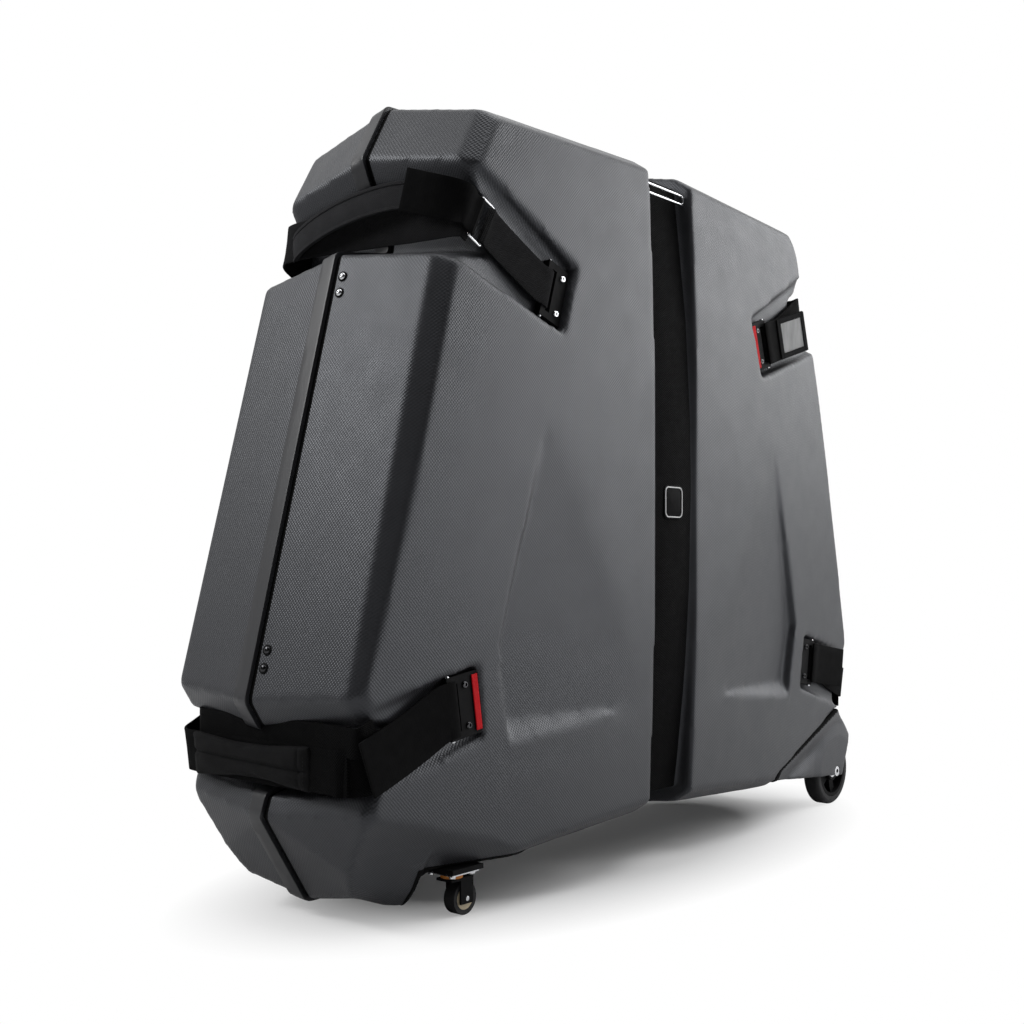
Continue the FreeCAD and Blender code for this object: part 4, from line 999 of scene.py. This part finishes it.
class CASE_OT_webbing(bpy.types.Operator):
    """Lays the end straps, their flaps and the middle strap"""
    bl_idname = "case.webbing"
    bl_label = "Webbing"

    def execute(self, context):
        width, thick = sizes().strap_width, sizes().strap_thick
        for end in ("front", "rear"):
            for level in ("upper", "lower"):
                self.base_strap(end, level, width, thick)
        for end, level, last_y in FLAP_WRAPS:
            self.near_flap(end, level, last_y, width, thick)
        self.front_upper(width, thick)
        self.lower_backing(thick)
        for half in SIDES:
            self.middle_strap(half)
        self.label_place()
        return {"FINISHED"}

    def base_strap(self, end, level, width, thick):
        """The strap of the far half, round the end of the case to the near corner."""
        far = Stand(level, end, "far")
        node = "%s_%s_strap" % (end, level)
        upper_front = (end, level) == ("front", "upper")
        stations = far.bar_loop() + far.round_end(0.0, TUCKED_STOP if upper_front else BASE_STOP)
        if upper_front:
            stations[-2][0][2] += 0.005
            stations[-1][0][2] -= TUCK_DROP
            stations += self.tucked_end()
        strap = ribbon(node + "_woven", stations, width, thick)
        cloth = finish("webbing" if level == "upper" else "dark_webbing")
        dress(strap, cloth, "far_half", "webbing", node)

    def tucked_end(self):
        """Stations of the upper front strap's near end, round the corner behind the flap."""
        near = Stand("upper", "front", "near")
        drop = near.rise * TUCK_DROP
        return [(near.corner + np.array((0.0035, 0.0035, 0.0)) - drop, unit(near.rise + UPRIGHT)),
                (near.on_run(0.87, -0.003) - drop, near.rise)]

    def near_flap(self, end, level, last_y, width, thick):
        """The near half's strap over the base strap, and its wide free end on top."""
        near = Stand(level, end, "near")
        node = "%s_%s_flap" % (end, level)
        wrap = near.bar_loop() + near.round_end(LAP, last_y)
        if (end, level) == ("rear", "lower"):
            for station, lift in zip(wrap[-4:], REAR_LOWER_LIFTS):
                station[0][2] += lift
        flap = ribbon(node + "_woven", wrap, width, thick)
        dress(flap, finish("dark_webbing"), "near_half", "webbing", node)
        end_run = near.bar_loop()[2:]
        if end == "front":
            end_run += [(near.on_run(0.55) + near.rise * 0.003, near.rise),
                        (near.on_run(1.03, 0.003) + near.rise * 0.008, near.rise)]
        else:
            end_run.append((near.point(near.free_end, 0.0, FLAP_STAND), near.up))
        end_run = [(place + near.out * FLAP_LIFT, way) for place, way in end_run]
        flap = ribbon(node + "_end", end_run, FLAP_WIDTH, thick)
        dress(flap, finish("hook_cloth"), "near_half", "webbing")

    def front_upper(self, width, thick):
        """The anchor that holds the wire ring, and the flap that passes through it."""
        near = Stand("upper", "front", "near")
        ring = near.on_run(RING_SHARE)
        anchor = near.bar_loop()
        anchor += [(ring + near.run * (step - RING_HALF) + near.out * out, near.rise)
                   for step, out in HOOK_STEPS]
        strap = ribbon("front_upper_anchor_woven", anchor, width, thick)
        dress(strap, finish("webbing"), "near_half", "webbing", "front_upper_anchor")
        flap = [(ring - near.run * (step - RING_HALF) + near.out * out, near.rise)
                for step, out in reversed(HOOK_STEPS)]
        leaning = unit((0.0, *LEANING_FLAP))
        flap += [(np.array((-0.4150, -0.1645, 0.8375)), UPRIGHT),
                 (np.array((-0.4370, -0.136, 0.8455)), leaning),
                 (np.array((-0.4475, -0.0945, 0.8590)), leaning)]
        strap = ribbon("front_upper_flap_woven", flap, width, thick)
        dress(strap, finish("hook_cloth"), "near_half", "webbing", "front_upper_flap")

    def lower_backing(self, thick):
        """The second layer of webbing that fills the groove over the lower front handle."""
        near = Stand("lower", "front", "near")
        stations = [(np.array((x, y, near.line[1] + BACKING_LIFT)), UPRIGHT) for x, y in BACKING_RUN]
        stations += [(near.corner + near.rise * BACKING_LIFT, UPRIGHT),
                     (near.on_run(0.8) + near.rise * BACKING_LIFT, near.rise)]
        backing = ribbon("front_lower_backing", stations, BACKING_WIDTH, thick)
        dress(backing, finish("dark_webbing"), "far_half", "webbing")

    def middle_strap(self, half):
        """One half's length of the wide strap round the case."""
        node = "mid_strap_" + half
        strap = node_copy(node, node + "_woven")
        edit_all(strap)
        bpy.ops.mesh.dissolve_limited(angle_limit=math.radians(2))
        end_edit()
        ease(strap, 0.0007, 40)
        strap_uv(strap)
        dress(strap, finish("wide_webbing"), half + "_half", "webbing", node)

    def label_place(self):
        """A bare patch on the middle strap with a raised pale line round it."""
        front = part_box("mid_strap_near")[0][1]
        for name, side, out, material in (("label_patch", 0.047, 0.0004, "patch_rubber"),
                                          ("label_outline", 0.043, 0.0013, "pale_print")):
            patch = primitive("plane", name, size=side)
            turn = Matrix.Rotation(math.radians(90.0), 4, "X")
            place = (LABEL_PLACE[0], front - out, LABEL_PLACE[1])
            patch.data.transform(Matrix.Translation(place) @ turn)
            edit_all(patch)
            bpy.ops.mesh.bevel(offset=LABEL_ROUND, segments=6, affect="VERTICES")
            if name == "label_outline":
                bpy.ops.mesh.inset(thickness=LABEL_LINE, depth=0.0)
                bpy.ops.mesh.delete(type="ONLY_FACE")
            end_edit()
            modify(patch, "SOLIDIFY", thickness=0.0012, offset=0.0)
            ease(patch, 0.0002, 40)
            dress(patch, finish(material), "near_half", "webbing")


# Brackets, screws and other hardware

# Outlines of the round pieces, as (radius, height)
SCREW_HEAD = ((0.0, 0.0012), (0.0018, 0.0012), (0.0021, 0.0026), (0.0033, 0.0026), (0.0041, 0.0019),
              (0.0045, 0.0008), (0.0045, -0.0002))
RIVET_DOME = ((0.0, 0.0010), (0.0010, 0.0010), (0.0012, 0.0028), (0.0026, 0.0026), (0.0039, 0.0019),
              (0.0047, 0.0009), (0.0047, 0.0))
RIVET_WASHER = ((0.0042, 0.0010), (0.0058, 0.0010), (0.0063, 0.0006), (0.0064, -0.0004))
AXLE_SOCKET = ((0.0, 0.0004), (0.0030, 0.0004), (0.0034, 0.0), (0.0034, -0.002))
BAR_PIN = ((0.0, 0.0005), (0.0022, 0.0005), (0.0026, 0.0), (0.0026, -0.004))

# Places on a bracket, as (along, out), and half the distance between the two of a pair
SCREW_PLACE = (0.012, 0.010)
SCREW_HALF_SPAN = 0.024
PIN_PLACE = (-0.004, 0.0065)
PIN_HALF_SPAN = 0.0385

RIVET_WAY = (0.964, -0.09, 0.249)
RIVET_RISE = 0.0025
RIVET_PARTING = 0.5

# The rings as (width, wire radius), and the top ring's length, height and set-back
FRONT_RING = (0.0588, 0.0016)
TOP_RING = (0.098, 0.0018)
TOP_RING_LENGTH = 0.016
TOP_RING_HEIGHT = 0.939
TOP_RING_BACK = 0.002

# The card window: its half length and height, its place on the flap, and its frame
WINDOW_HALF = 0.038
WINDOW_HEIGHT = 0.052
WINDOW_FROM_END = 0.0455
WINDOW_STAND = 0.0056
WINDOW_THICK = 0.0006
FRAME_THICK = 0.0018
FRAME_ENDS = (0.0315, 0.010)
FRAME_SIDES = (0.0275, 0.008)

TAB_WIDTH = 0.0098
TAB_THICK = 0.0014
TAB_STAND = 0.0114
TAB_HALF_SPAN = 0.033
TAB_INSETS = {"front": 0.006, "rear": 0.0125}


def finish_node(node, name, round_off=0.0008):
    """Keeps a rigid CAD node showing, with its edges eased and a finish of its own."""
    obj = NODES[node]
    obj.modifiers.new("Weld", "WELD").merge_threshold = 1e-5
    planar = obj.modifiers.new("Flat faces", "DECIMATE")
    planar.decimate_type = "DISSOLVE"
    planar.angle_limit = math.radians(1.5)
    eased = obj.modifiers.new("Eased edges", "BEVEL")
    eased.width = round_off
    eased.segments = 2
    eased.limit_method = "ANGLE"
    eased.angle_limit = math.radians(35)
    obj.data.materials.clear()
    obj.data.materials.append(finish(name))


class CASE_OT_hardware(bpy.types.Operator):
    """Finishes the brackets and adds screws, rings, the card window, red tabs and rivets"""
    bl_idname = "case.hardware"
    bl_label = "Hardware"

    def execute(self, context):
        for side in SIDES:
            self.brackets(side)
        self.rings()
        self.window()
        self.red_tabs()
        self.rivets()
        return {"FINISHED"}

    def brackets(self, side):
        """One half's four brackets, with their screw heads and the pins that hold their bars."""
        screws = {"bright_steel": [], "blackened_steel": []}
        pins = []
        for end in ("front", "rear"):
            for level in ("upper", "lower"):
                finish_node("%s_%s_%s_bracket" % (side, end, level), "satin_black", 0.0012)
                stand = Stand(level, end, side)
                bright = (end, level) == ("front", "upper")
                for way in (-1, 1):
                    place = stand.point(SCREW_PLACE[0] + stand.room, way * SCREW_HALF_SPAN, SCREW_PLACE[1])
                    head = set_at(turned("screw", SCREW_HEAD), place, stand.out)
                    screws["bright_steel" if bright else "blackened_steel"].append(head)
                for way in (-1, 1):
                    place = stand.point(stand.edge + PIN_PLACE[0], way * PIN_HALF_SPAN, PIN_PLACE[1])
                    pins.append(set_at(turned("pin", BAR_PIN), place, stand.up * way))
        heads = joined(screws["bright_steel"], side + "_screw_heads")
        dress(heads, finish("bright_steel"), side + "_half", "steel", side + "_bracket_screws")
        heads = joined(screws["blackened_steel"], side + "_dark_screw_heads")
        dress(heads, finish("blackened_steel"), side + "_half", "steel")
        ends = joined(pins, side + "_bar_pins")
        dress(ends, finish("bright_steel"), side + "_half", "steel")

    def rings(self):
        """The wire rings of the front upper strap and of the middle strap."""
        near = Stand("upper", "front", "near")
        front = wire_ring("ring", near.on_run(RING_SHARE), near.run, near.rise, 2 * RING_HALF, *FRONT_RING)
        middle = (0.0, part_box("strap_rings")[0][1] + TOP_RING_BACK, TOP_RING_HEIGHT)
        top = wire_ring("ring", middle, UPRIGHT, np.array([1.0, 0.0, 0.0]), TOP_RING_LENGTH, *TOP_RING)
        rings = joined([front, top], "strap_wire_rings")
        dress(rings, finish("bright_steel"), "near_half", "steel", "strap_rings")

    def window(self):
        """A clear film over a pocket for a card, in a black sewn frame."""
        near = Stand("upper", "rear", "near")
        start = near.bar_loop()[-1][0]
        stop = near.point(near.free_end, 0.0, FLAP_STAND)
        along = unit(stop - start)
        centre = stop - along * WINDOW_FROM_END + near.out * WINDOW_STAND
        steps = (-WINDOW_HALF, 0.0, WINDOW_HALF)
        film = [(centre + along * step, near.up) for step in steps]
        film = ribbon("id_window_film", film, WINDOW_HEIGHT, WINDOW_THICK, rows=10)
        dress(film, finish("clear_film"), "near_half", "clear_plastic", "id_window")
        frame_bars = []
        raised = centre + near.out * WINDOW_THICK
        reach, width = FRAME_ENDS
        for step in (-WINDOW_HALF, WINDOW_HALF):
            ends = [(raised + along * step + near.up * over, along) for over in (-reach, 0.0, reach)]
            frame_bars.append(ribbon("bar", ends, width, FRAME_THICK))
        reach, width = FRAME_SIDES
        for over in (-reach, reach):
            ends = [(raised + along * step + near.up * over, near.up) for step in steps]
            frame_bars.append(ribbon("bar", ends, width, FRAME_THICK))
        dress(joined(frame_bars, "card_pocket_frame"), finish("webbing"), "near_half", "webbing")

    def red_tabs(self):
        """The plain red pull tabs beside two of the brackets."""
        tabs = []
        for level, end, side in TABBED:
            stand = Stand(level, end, side)
            inset = TAB_INSETS[end]
            run = [(stand.point(inset, way * TAB_HALF_SPAN, TAB_STAND), stand.along) for way in (-1, 0, 1)]
            tabs.append(ribbon("tab", run, TAB_WIDTH, TAB_THICK))
        dress(joined(tabs, "red_pull_tabs"), finish("red_cloth"), "near_half", "red_fabric", "red_tabs")

    def rivets(self):
        """Domed rivets at the seats of the CAD ones: bright above and dark below."""
        seats = node_copy("tab_rivets", "rivet_seats")
        edit_all(seats)
        bpy.ops.mesh.separate(type="LOOSE")
        end_edit()
        bright, dark, washers = [], [], []
        for piece in list(bpy.context.selected_objects):
            points = points_of(piece)
            way = unit((math.copysign(RIVET_WAY[0], points[:, 0].mean()), *RIVET_WAY[1:]))
            reach = points @ way
            seat = points[reach > reach.max() - 0.0002].mean(0) - way * RIVET_RISE
            row = bright if seat[2] > RIVET_PARTING else dark
            row.append(set_at(turned("dome", RIVET_DOME), seat, way))
            washers.append(set_at(turned("washer", RIVET_WASHER), seat, way))
            bpy.data.objects.remove(piece)
        dress(joined(bright, "upper_rivets"), finish("bright_steel"), "near_half", "steel", "tab_rivets")
        dress(joined(dark, "lower_rivets"), finish("blackened_steel"), "near_half", "steel")
        dress(joined(washers, "rivet_washers"), finish("satin_black"), "near_half", "black_plastic")
        finish_node("alignment_tabs", "satin_black", 0.0004)


# Handles and lining

SWELL_PRESSURE = 4.0
SWELL_FRAMES = 20

# The upper band's line in front of the case, its width and its thickness, and its hems
BAND_PLACES = (
    (-0.4225, 0.128, 0.826), (-0.4315, 0.112, 0.830), (-0.4405, 0.07, 0.840), (-0.4455, 0.02, 0.8485),
    (-0.4445, -0.03, 0.8545), (-0.439, -0.072, 0.857), (-0.4315, -0.1, 0.8545), (-0.4275, -0.118, 0.848))
BAND_WIDTH = 0.032
BAND_THICK = 0.0052
BAND_CROWN = 0.0016
HEM_OFFSET = 0.0145
HEM_RISE = 0.0034
HEM_WIDTH = 0.0042
HEM_THICK = 0.0024

# The lower sleeve: how it differs from its solid, its flat ends, and the depth of its folds
SLEEVE_PAST = 0.010
SLEEVE_TRIM = (0.010, 0.006, 0.006)
SLEEVE_GRAIN = 0.0045
SLEEVE_SWELL = 0.006
SLEEVE_END = 0.016
SLEEVE_PINCH = 0.42
CREASE_SLOPE = 0.03
CREASE_DEEP = 0.0042
HEM_DEEP = 0.0016
ROLL_OUT = 0.0022
LOW_PART_DEEP = 0.0022
STITCH_INSET = (0.0052, 0.010, 0.008)

FOAM_WAVE = 0.032
FOAM_FLAT = 0.62
FOAM_EDGE = 0.006
FOAM_GRID = (110, 114)


def stuffed(obj, voxel, cap):
    """Swells a closed mesh like filled cloth, each point moving no further than the cap."""
    modify(obj, "REMESH", mode="VOXEL", voxel_size=voxel)
    before = points_of(obj)
    activate(obj)
    cloth = obj.modifiers.new("Cloth", "CLOTH")
    cloth.settings.use_pressure = True
    cloth.settings.uniform_pressure_force = SWELL_PRESSURE
    cloth.settings.effector_weights.gravity = 0.0
    cloth.point_cache.frame_start = 1
    cloth.point_cache.frame_end = SWELL_FRAMES
    for number in range(1, SWELL_FRAMES + 1):
        bpy.context.scene.frame_set(number)
    bpy.ops.object.modifier_apply(modifier=cloth.name)
    bpy.context.scene.frame_set(1)
    moved = points_of(obj) - before
    reach = np.linalg.norm(moved, axis=1, keepdims=True)
    set_points(obj, before + moved * np.minimum(1.0, cap / np.maximum(reach, 1e-9)))
    modify(obj, "SUBSURF", levels=1)


class CASE_OT_handles(bpy.types.Operator):
    """Sews the bowed upper grab band and the folded sleeve of the lower handle"""
    bl_idname = "case.handles"
    bl_label = "Handles"

    def execute(self, context):
        self.grab_band()
        self.sleeve()
        return {"FINISHED"}

    def grab_band(self):
        """The upper handle: a bowed band of cloth with a hem along each edge."""
        bowed = [(np.array(place), UPRIGHT) for place in BAND_PLACES]
        pieces = [ribbon("upper_grab_band", bowed, BAND_WIDTH, BAND_THICK, rows=8, crown=BAND_CROWN)]
        for over in (-HEM_OFFSET, HEM_OFFSET):
            edge = [(place + np.array([-HEM_RISE, 0.0, over]), up) for place, up in bowed]
            pieces.append(ribbon("hem", edge, HEM_WIDTH, HEM_THICK, rows=2))
        band = joined(pieces, "upper_grab_band")
        dress(band, finish("band_cloth"), "far_half", "padding", "front_upper_handle")

    def sleeve(self):
        """The lower handle: a swelled sleeve with a long crease, flat ends and a row of stitches."""
        low, high = (np.array(corner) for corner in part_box("front_lower_handle"))
        low[1] -= SLEEVE_PAST
        middle = (low + high) / 2
        sleeve = primitive("cube", "lower_handle_sleeve", size=1.0)
        span = (high - low) - np.array(SLEEVE_TRIM)
        sleeve.data.transform(Matrix.Translation(Vector(middle)) @ Matrix.Diagonal((*span, 1.0)))
        stuffed(sleeve, SLEEVE_GRAIN, SLEEVE_SWELL)
        points = points_of(sleeve)
        x, y, z = points.T.copy()
        near_end = ramp(y, low[1] + SLEEVE_END, low[1])
        far_end = ramp(y, high[1] - SLEEVE_END, high[1])
        outward = x - middle[0]
        front = (outward < 0.0).astype(float)
        crease_z = middle[2] - 0.001 + CREASE_SLOPE * (y - middle[1])
        crease = bell(z, crease_z, 0.0028) * (1.0 - near_end)
        hem = bell(y, low[1] + 0.018, 0.0016)
        top_roll = bell(z, high[2] - 0.006, 0.005)
        low_part = ramp(z - crease_z, 0.0, -0.02)
        points[:, 0] = middle[0] + outward * (1.0 - SLEEVE_PINCH * np.maximum(near_end, far_end))
        folds = CREASE_DEEP * crease + HEM_DEEP * hem - ROLL_OUT * top_roll + LOW_PART_DEEP * low_part
        points[:, 0] += front * folds
        set_points(sleeve, points)
        modify(sleeve, "SMOOTH", factor=0.3, iterations=2)
        dress(sleeve, finish("handle_cloth"), "far_half", "padding", "front_lower_handle")
        stitch_x = points[:, 0].min() + STITCH_INSET[0]
        stitch_y = low[1] + STITCH_INSET[1]
        stitches = stitch_row("lower_handle_stitches", (stitch_x, stitch_y, low[2] + STITCH_INSET[2]),
                              (stitch_x, stitch_y, high[2] - STITCH_INSET[2]), (-1.0, 0.0, 0.0))
        dress(stitches, finish("stitch_thread"), "far_half", "padding")


class CASE_OT_lining(bpy.types.Operator):
    """Cuts the waved foam pads that line the two halves"""
    bl_idname = "case.lining"
    bl_label = "Lining"

    def execute(self, context):
        low, high = (np.array(corner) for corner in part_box("far_foam_pad"))
        across, up = FOAM_GRID
        pad = primitive("grid", "far_foam_waved", x_subdivisions=across, y_subdivisions=up, size=1.0)
        flat = points_of(pad)
        x = low[0] + (flat[:, 0] + 0.5) * (high[0] - low[0])
        z = low[2] + (flat[:, 1] + 0.5) * (high[2] - low[2])
        edge = np.minimum(0.5 - np.abs(flat[:, 0]), 0.5 - np.abs(flat[:, 1])) * (high[0] - low[0])
        wave = 0.5 - 0.5 * np.cos(2 * np.pi * x / FOAM_WAVE) * np.cos(2 * np.pi * z / FOAM_WAVE)
        thick = (high[1] - low[1]) * (FOAM_FLAT + (1.0 - FOAM_FLAT) * wave)
        rise = thick * np.clip(edge / FOAM_EDGE, 0.25, 1.0) ** 0.5
        set_points(pad, np.stack([x, high[1] - rise, z], 1))
        edit_all(pad)
        bpy.ops.mesh.region_to_loop()
        bpy.ops.mesh.extrude_edges_move(TRANSFORM_OT_translate={"value": (0.0, 0.001, 0.0)})
        end_edit()
        points = points_of(pad)
        fresh = np.arange(len(points)) >= len(flat)
        points[fresh, 1] = high[1]
        set_points(pad, points)
        select_verts(pad, fresh)
        bpy.ops.mesh.edge_face_add()
        bpy.ops.mesh.select_all(action="SELECT")
        bpy.ops.mesh.normals_make_consistent(inside=False)
        end_edit()
        near = mirrored_copy(pad, "near_foam_waved")
        for obj, half in ((pad, "far"), (near, "near")):
            dress(obj, finish("grey_foam"), half + "_half", "foam", half + "_foam_pad")
        return {"FINISHED"}


# Wheels

FENDER_DIAGONAL = ((0.333, 0.085), (0.542, 0.167))
FENDER_OUTER = (0.146, 0.152)
FENDER_GRAIN = 0.0026
FENDER_FLUSH = 0.007
FENDER_BULGE = 0.003
FENDER_VALLEY = 0.006
WHEEL_PLACE = (0.548, 0.058)
GASKET_WIDTH = 0.0062
GASKET_STOP = 0.55
NOSE_STOP = 0.3405


def below_diagonal(points):
    """How far points lie under the fender's upper edge."""
    start, stop = np.array(FENDER_DIAGONAL[0]), np.array(FENDER_DIAGONAL[1])
    run = (stop - start) / np.linalg.norm(stop - start)
    return (points[:, [0, 2]] - start) @ np.array([run[1], -run[0]])


def fender_skin():
    """The far fender with soft edges, flush along its upper edge and hollow before the wheel."""
    fender = node_copy("far_fender", "far_fender_soft")
    modify(fender, "REMESH", mode="VOXEL", voxel_size=FENDER_GRAIN)
    modify(fender, "SMOOTH", factor=0.5, iterations=5)
    points = points_of(fender)
    below = below_diagonal(points)
    flush = FENDER_FLUSH * bell(below, 0.0, 0.016)
    wheel = np.hypot(points[:, 0] - WHEEL_PLACE[0], points[:, 2] - WHEEL_PLACE[1])
    bulge = FENDER_BULGE * ramp(wheel, 0.082, 0.062)
    valley = FENDER_VALLEY * bell(below, 0.034, 0.014) * ramp(points[:, 0], 0.50, 0.45)
    points[:, 1] += ramp(points[:, 1], *FENDER_OUTER) * (flush + bulge - valley)
    set_points(fender, points)
    modify(fender, "SMOOTH", factor=0.4, iterations=3)
    return fender


class CASE_OT_wheels(bpy.types.Operator):
    """Finishes the casters and the large wheels and moulds their fenders"""
    bl_idname = "case.wheels"
    bl_label = "Wheels"

    FINISHED_NODES = {
        "caster_housing": "satin_black", "caster_plate": "bright_steel", "caster_bolts": "bright_steel",
        "dust_ring": "orange_plastic", "caster_fork": "satin_black", "caster_axle": "bright_steel",
        "caster_tyre": "tyre_rubber", "caster_core": "cream_plastic", "rear_axle": "bright_steel",
        "rear_bearings": "bright_steel", "rear_rim": "satin_black", "rear_tyre": "tyre_rubber",
    }

    def execute(self, context):
        far = fender_skin()
        near = mirrored_copy(far, "near_fender_soft")
        for fender, half in ((far, "far"), (near, "near")):
            box_uv(fender)
            dress(fender, finish("moulded_shell"), half + "_half", "shell", half + "_fender")
            self.fender_trim(fender, half)
            for piece, name in self.FINISHED_NODES.items():
                finish_node("%s_%s" % (half, piece), name, 0.0005)
            self.axle_socket(half)
        return {"FINISHED"}

    def axle_socket(self, half):
        """The dark socket in the outer end of a large wheel's axle."""
        low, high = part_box(half + "_rear_axle")
        side = -1.0 if half == "near" else 1.0
        place = ((low[0] + high[0]) / 2, low[1] if half == "near" else high[1], (low[2] + high[2]) / 2)
        socket = set_at(turned(half + "_axle_socket", AXLE_SOCKET), place, (0.0, side, 0.0))
        dress(socket, finish("seal_rubber"), half + "_half", "black_plastic")

    def fender_trim(self, fender, half):
        """The black gasket along the fender's upper edge and the black block at its nose."""
        trim = copy_of(fender, half + "_fender_gasket")
        points = points_of(trim)
        gasket = (below_diagonal(points) < GASKET_WIDTH) & (points[:, 0] < GASKET_STOP)
        nose = points[:, 0] < NOSE_STOP
        select_verts(trim, ~(gasket | nose))
        bpy.ops.mesh.delete(type="VERT")
        end_edit()
        modify(trim, "DISPLACE", strength=0.0005, mid_level=0.0)
        modify(trim, "SOLIDIFY", thickness=TRIM_THICK, offset=-1.0)
        dress(trim, finish("seal_rubber"), half + "_half", "black_plastic")


# Stage

CAMERA_PLACE = (-1.5136, -1.1629, 0.419)
CAMERA_TURN = -49.8
CAMERA_LENS = 44.96
CAMERA_SHIFT = 0.0498
OPEN_FRONT = (-0.7638, -0.6455, 0.0)
SHADOW_REACH = (0.60, 0.29, 1.0)
SHADOW_FADE = (0.64, 1.14)

# Strengths of the world, each as two strengths and the two coordinates between which it goes over
LIT_STRENGTH = (0.36, 0.04, 0.1, 0.8)
MIRRORED_STRENGTH = (1.25, 0.02, -0.3, 0.62)
FAR_LEFT_STRENGTH = (1.0, 0.4, 0.65, 0.95)

# Lamps by name: place, target, width, height and power
LAMPS = {
    "key": ((2.9, -1.7, 1.9), (0.2, -0.2, 0.75), 1.9, 1.9, 52.0),
    "fill": ((1.6, -2.5, 0.45), (0.1, -0.2, 0.4), 1.6, 0.8, 15.0),
    "top": ((0.2, -0.6, 3.2), (0.0, 0.0, 0.5), 2.6, 2.0, 38.0),
    "front": ((-2.2, 1.6, 2.3), (-0.5, 0.0, 0.8), 1.2, 1.2, 50.0),
}


def studio_strength(nodes):
    """White to the eye and through glass, soft to the surfaces, and dark in reflections of the open front."""
    facing = nodes.node("ShaderNodeVectorMath", operation="DOT_PRODUCT")
    facing.inputs[1].default_value = OPEN_FRONT
    nodes.link(nodes.place("Generated"), facing.inputs[0])
    lit = nodes.ranged(facing.outputs["Value"], *LIT_STRENGTH)
    mirrored = nodes.ranged(facing.outputs["Value"], *MIRRORED_STRENGTH)
    far_left = nodes.ranged(nodes.split("Generated")["Y"], *FAR_LEFT_STRENGTH)
    soft = nodes.node("ShaderNodeMix")
    nodes.link(lit, soft.inputs["A"])
    nodes.link(nodes.math("MULTIPLY", mirrored, far_left), soft.inputs["B"])
    nodes.link(nodes.rays("Glossy"), soft.inputs["Factor"])
    return nodes.math("MAXIMUM", nodes.rays("Camera", "Transmission"), soft.outputs["Result"])


def white_floor():
    """White paper that takes the shadow near the case and runs out to plain white away from it."""
    made = Finish("studio_floor", (0.93, 0.93, 0.93), 0.95)
    made.rough(made.noise(3.0), 0.9, 1.0)
    made.tint(made.rays("Camera", "Glossy", "Transmission"), 0.4, 1.0)
    spread = made.node("ShaderNodeVectorMath", operation="DIVIDE")
    made.link(made.place("Object"), spread.inputs[0])
    spread.inputs[1].default_value = SHADOW_REACH
    length = made.node("ShaderNodeVectorMath", operation="LENGTH")
    made.link(spread.outputs["Vector"], length.inputs[0])
    away = made.ranged(length.outputs["Value"], 0.0, 1.0, *SHADOW_FADE)
    fade = made.math("MULTIPLY", away, made.rays("Camera", "Transmission"))
    paper = made.node("ShaderNodeEmission")
    paper.inputs["Color"].default_value = (1.0, 1.0, 1.0, 1.0)
    mix = made.node("ShaderNodeMixShader")
    made.link(fade, mix.inputs["Fac"])
    made.link(made.shader.outputs["BSDF"], mix.inputs[1])
    made.link(paper.outputs["Emission"], mix.inputs[2])
    made.link(mix.outputs["Shader"], made.tree.nodes["Material Output"].inputs["Surface"])
    return made.material


def soft_light(name, place, target, width, height, power):
    light = bpy.data.lights.new(name, "AREA")
    light.shape = "RECTANGLE"
    light.size = width
    light.size_y = height
    light.energy = power
    obj = bpy.data.objects.new(name, light)
    obj.location = place
    obj.rotation_euler = (Vector(target) - Vector(place)).to_track_quat("-Z", "Y").to_euler()
    bpy.context.scene.collection.objects.link(obj)


class CASE_OT_stage(bpy.types.Operator):
    """Sets the floor, the lights and the camera"""
    bl_idname = "case.stage"
    bl_label = "Stage"

    def execute(self, context):
        scene = context.scene
        scene.view_settings.view_transform = "Standard"
        floor = primitive("plane", "studio_floor", size=40.0, location=(0, 0, 0))
        floor.data.materials.append(white_floor())

        world = bpy.data.worlds.new("studio")
        scene.world = world
        world.use_nodes = True
        nodes = Nodes(world.node_tree)
        sky = nodes.tree.nodes["Background"]
        sky.inputs["Color"].default_value = (1.0, 1.0, 1.0, 1.0)
        nodes.link(studio_strength(nodes), sky.inputs["Strength"])
        for name, settings in LAMPS.items():
            soft_light(name, *settings)

        camera = bpy.data.cameras.new("photo_view")
        camera.lens = CAMERA_LENS
        camera.sensor_width = 36.0
        camera.shift_y = CAMERA_SHIFT
        obj = bpy.data.objects.new("photo_view", camera)
        obj.location = CAMERA_PLACE
        obj.rotation_euler = (math.radians(90.0), 0.0, math.radians(CAMERA_TURN))
        scene.collection.objects.link(obj)
        scene.camera = obj
        return {"FINISHED"}


OPERATORS = (CASE_OT_shells, CASE_OT_webbing, CASE_OT_hardware, CASE_OT_handles, CASE_OT_lining,
             CASE_OT_wheels, CASE_OT_stage)


class CASE_PT_panel(bpy.types.Panel):
    """Sidebar panel with the sizes and one button for each group of pieces"""
    bl_idname = "CASE_PT_panel"
    bl_label = "Bike travel case"
    bl_space_type = "VIEW_3D"
    bl_region_type = "UI"
    bl_category = "Case"

    def draw(self, context):
        for group in (context.scene.case_sizes, context.scene.case_colours):
            for name in group.bl_rna.properties.keys():
                if name not in ("rna_type", "name"):
                    self.layout.prop(group, name)
        for operator in OPERATORS:
            self.layout.operator(operator.bl_idname)


CLASSES = (CaseSizes, CaseColours, *OPERATORS, CASE_PT_panel)


def register():
    for cls in CLASSES:
        bpy.utils.register_class(cls)
    bpy.types.Scene.case_sizes = bpy.props.PointerProperty(type=CaseSizes)
    bpy.types.Scene.case_colours = bpy.props.PointerProperty(type=CaseColours)


def unregister():
    del bpy.types.Scene.case_colours
    del bpy.types.Scene.case_sizes
    for cls in reversed(CLASSES):
        bpy.utils.unregister_class(cls)


def main():
    register()
    for operator in OPERATORS:
        group, name = operator.bl_idname.split(".")
        getattr(getattr(bpy.ops, group), name)()


if __name__ == "__main__":
    main()
